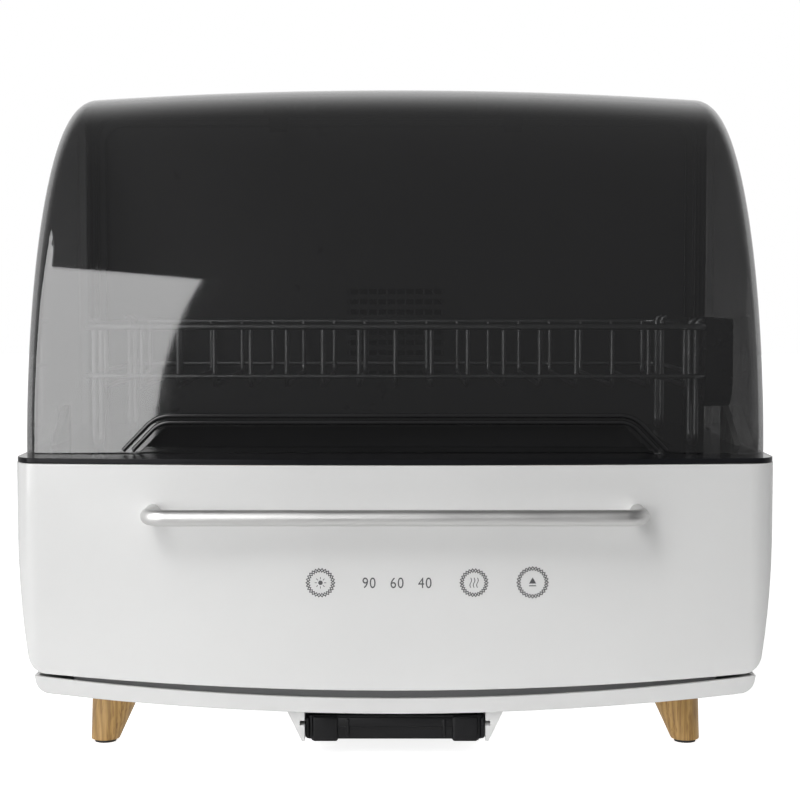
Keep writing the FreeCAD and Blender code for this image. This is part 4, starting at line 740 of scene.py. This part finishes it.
def addPanelBorders():
    made = bmesh.new()
    y, low, steps = panelBorders["depth"], panelBorders["foot"], panelBorders["bendSteps"]
    for half, high, bend, radius in panelBorders["lines"]:
        drawWire(made, (-half, y, low), turned(0, "X"), radius, [
            ("go", (0, 0, high - bend - low)),
            ("turn", (-half + bend, y, high - bend), (0, 1, 0), 90, steps),
            ("go", (2 * (half - bend), 0, 0)),
            ("turn", (half - bend, y, high - bend), (0, 1, 0), 90, steps),
            ("go", (0, 0, low - high + bend)),
        ])
    finish(made, "panelBorders", "panelEdgePaintedShade", "cabinet")


addPanelBorders()
print("panel borders made")


# Rack: wire ends that lap over the rim above each leg

rackEnds = dict(legX=0.1999, rimX=0.2040, height=0.271, rise=0.002, radius=0.0015, segments=12, bendSteps=10,
                spots=(-0.074, -0.048, 0.084, 0.110))


def addRackEnds():
    z, rise = rackEnds["height"], rackEnds["rise"]
    made = bmesh.new()
    for side in (-1, 1):
        for y in rackEnds["spots"]:
            drawWire(made, (side * rackEnds["legX"], y, z - rise), turned(0, "X"), rackEnds["radius"], [
                ("go", (0, 0, rise)),
                ("turn", (side * rackEnds["rimX"], y, z), (0, 1, 0), side * 90, rackEnds["bendSteps"]),
            ], rackEnds["segments"])
    finish(made, "rackEnds", "rackChrome", "dish_rack")


addRackEnds()
print("rack ends made")


# Foam filter behind the fan

airFilter = dict(low=(-0.0455, 0.1821, 0.2165), high=(0.0455, 0.1844, 0.3075), rounding=0.0008)


def addAirFilter():
    made = bmesh.new()
    block(made, airFilter["low"], airFilter["high"], airFilter["rounding"])
    finish(made, "airFilter", "filterFoam", "cabinet")


materials["filterFoam"] = mouldedPlastic("filterFoam", (0.012, 0.012, 0.012), vary=0.4,
                                         roughness=(0.8, 0.95), grain=1600, grainDepth=0.9, edge=0.0)
addAirFilter()
print("air filter made")


# Painted shade in the cross recesses of the rear cover's screws: flat dark crosses laid into their heads

screwRecessShade = dict(spots=[(x, z) for x in (-0.158, 0.158) for z in (0.217, 0.388)],
                  face=0.18995, depth=0.0002, proud=0.0001, length=0.0036, width=0.0009)


def addScrewRecessShades():
    made = bmesh.new()
    inside, outside = screwRecessShade["face"] - screwRecessShade["depth"], screwRecessShade["face"] + screwRecessShade["proud"]
    bar = (screwRecessShade["length"], screwRecessShade["width"])
    for x, z in screwRecessShade["spots"]:
        for wide, high in (bar, bar[::-1]):
            block(made, (x - wide / 2, inside, z - high / 2), (x + wide / 2, outside, z + high / 2))
    # the crosses are black as painted shade inside each screw's recess
    finish(made, "screwRecessShades", "deckBlack", "cabinet")


addScrewRecessShades()
print("screw crosses made")


# Basket with its rim, slots and corners rounded over

basketEdge = dict(width=0.0007, segments=3)

easedCopy("cutlery_basket", "basketShell", basketEdge["width"], basketEdge["segments"], "basketBlack",
          "cutlery_basket")
print("basket made")


# Feet with their lower edge rounded over

footEdge = dict(width=0.0013, segments=4, below=0.003)

for corner in ("front_left", "front_right", "rear_left", "rear_right"):
    name = "foot" + "".join(word.capitalize() for word in corner.split("_"))
    easedCopy("foot_" + corner, name, footEdge["width"], footEdge["segments"], "footOak",
              "cabinet", footEdge["below"])
print("feet made")
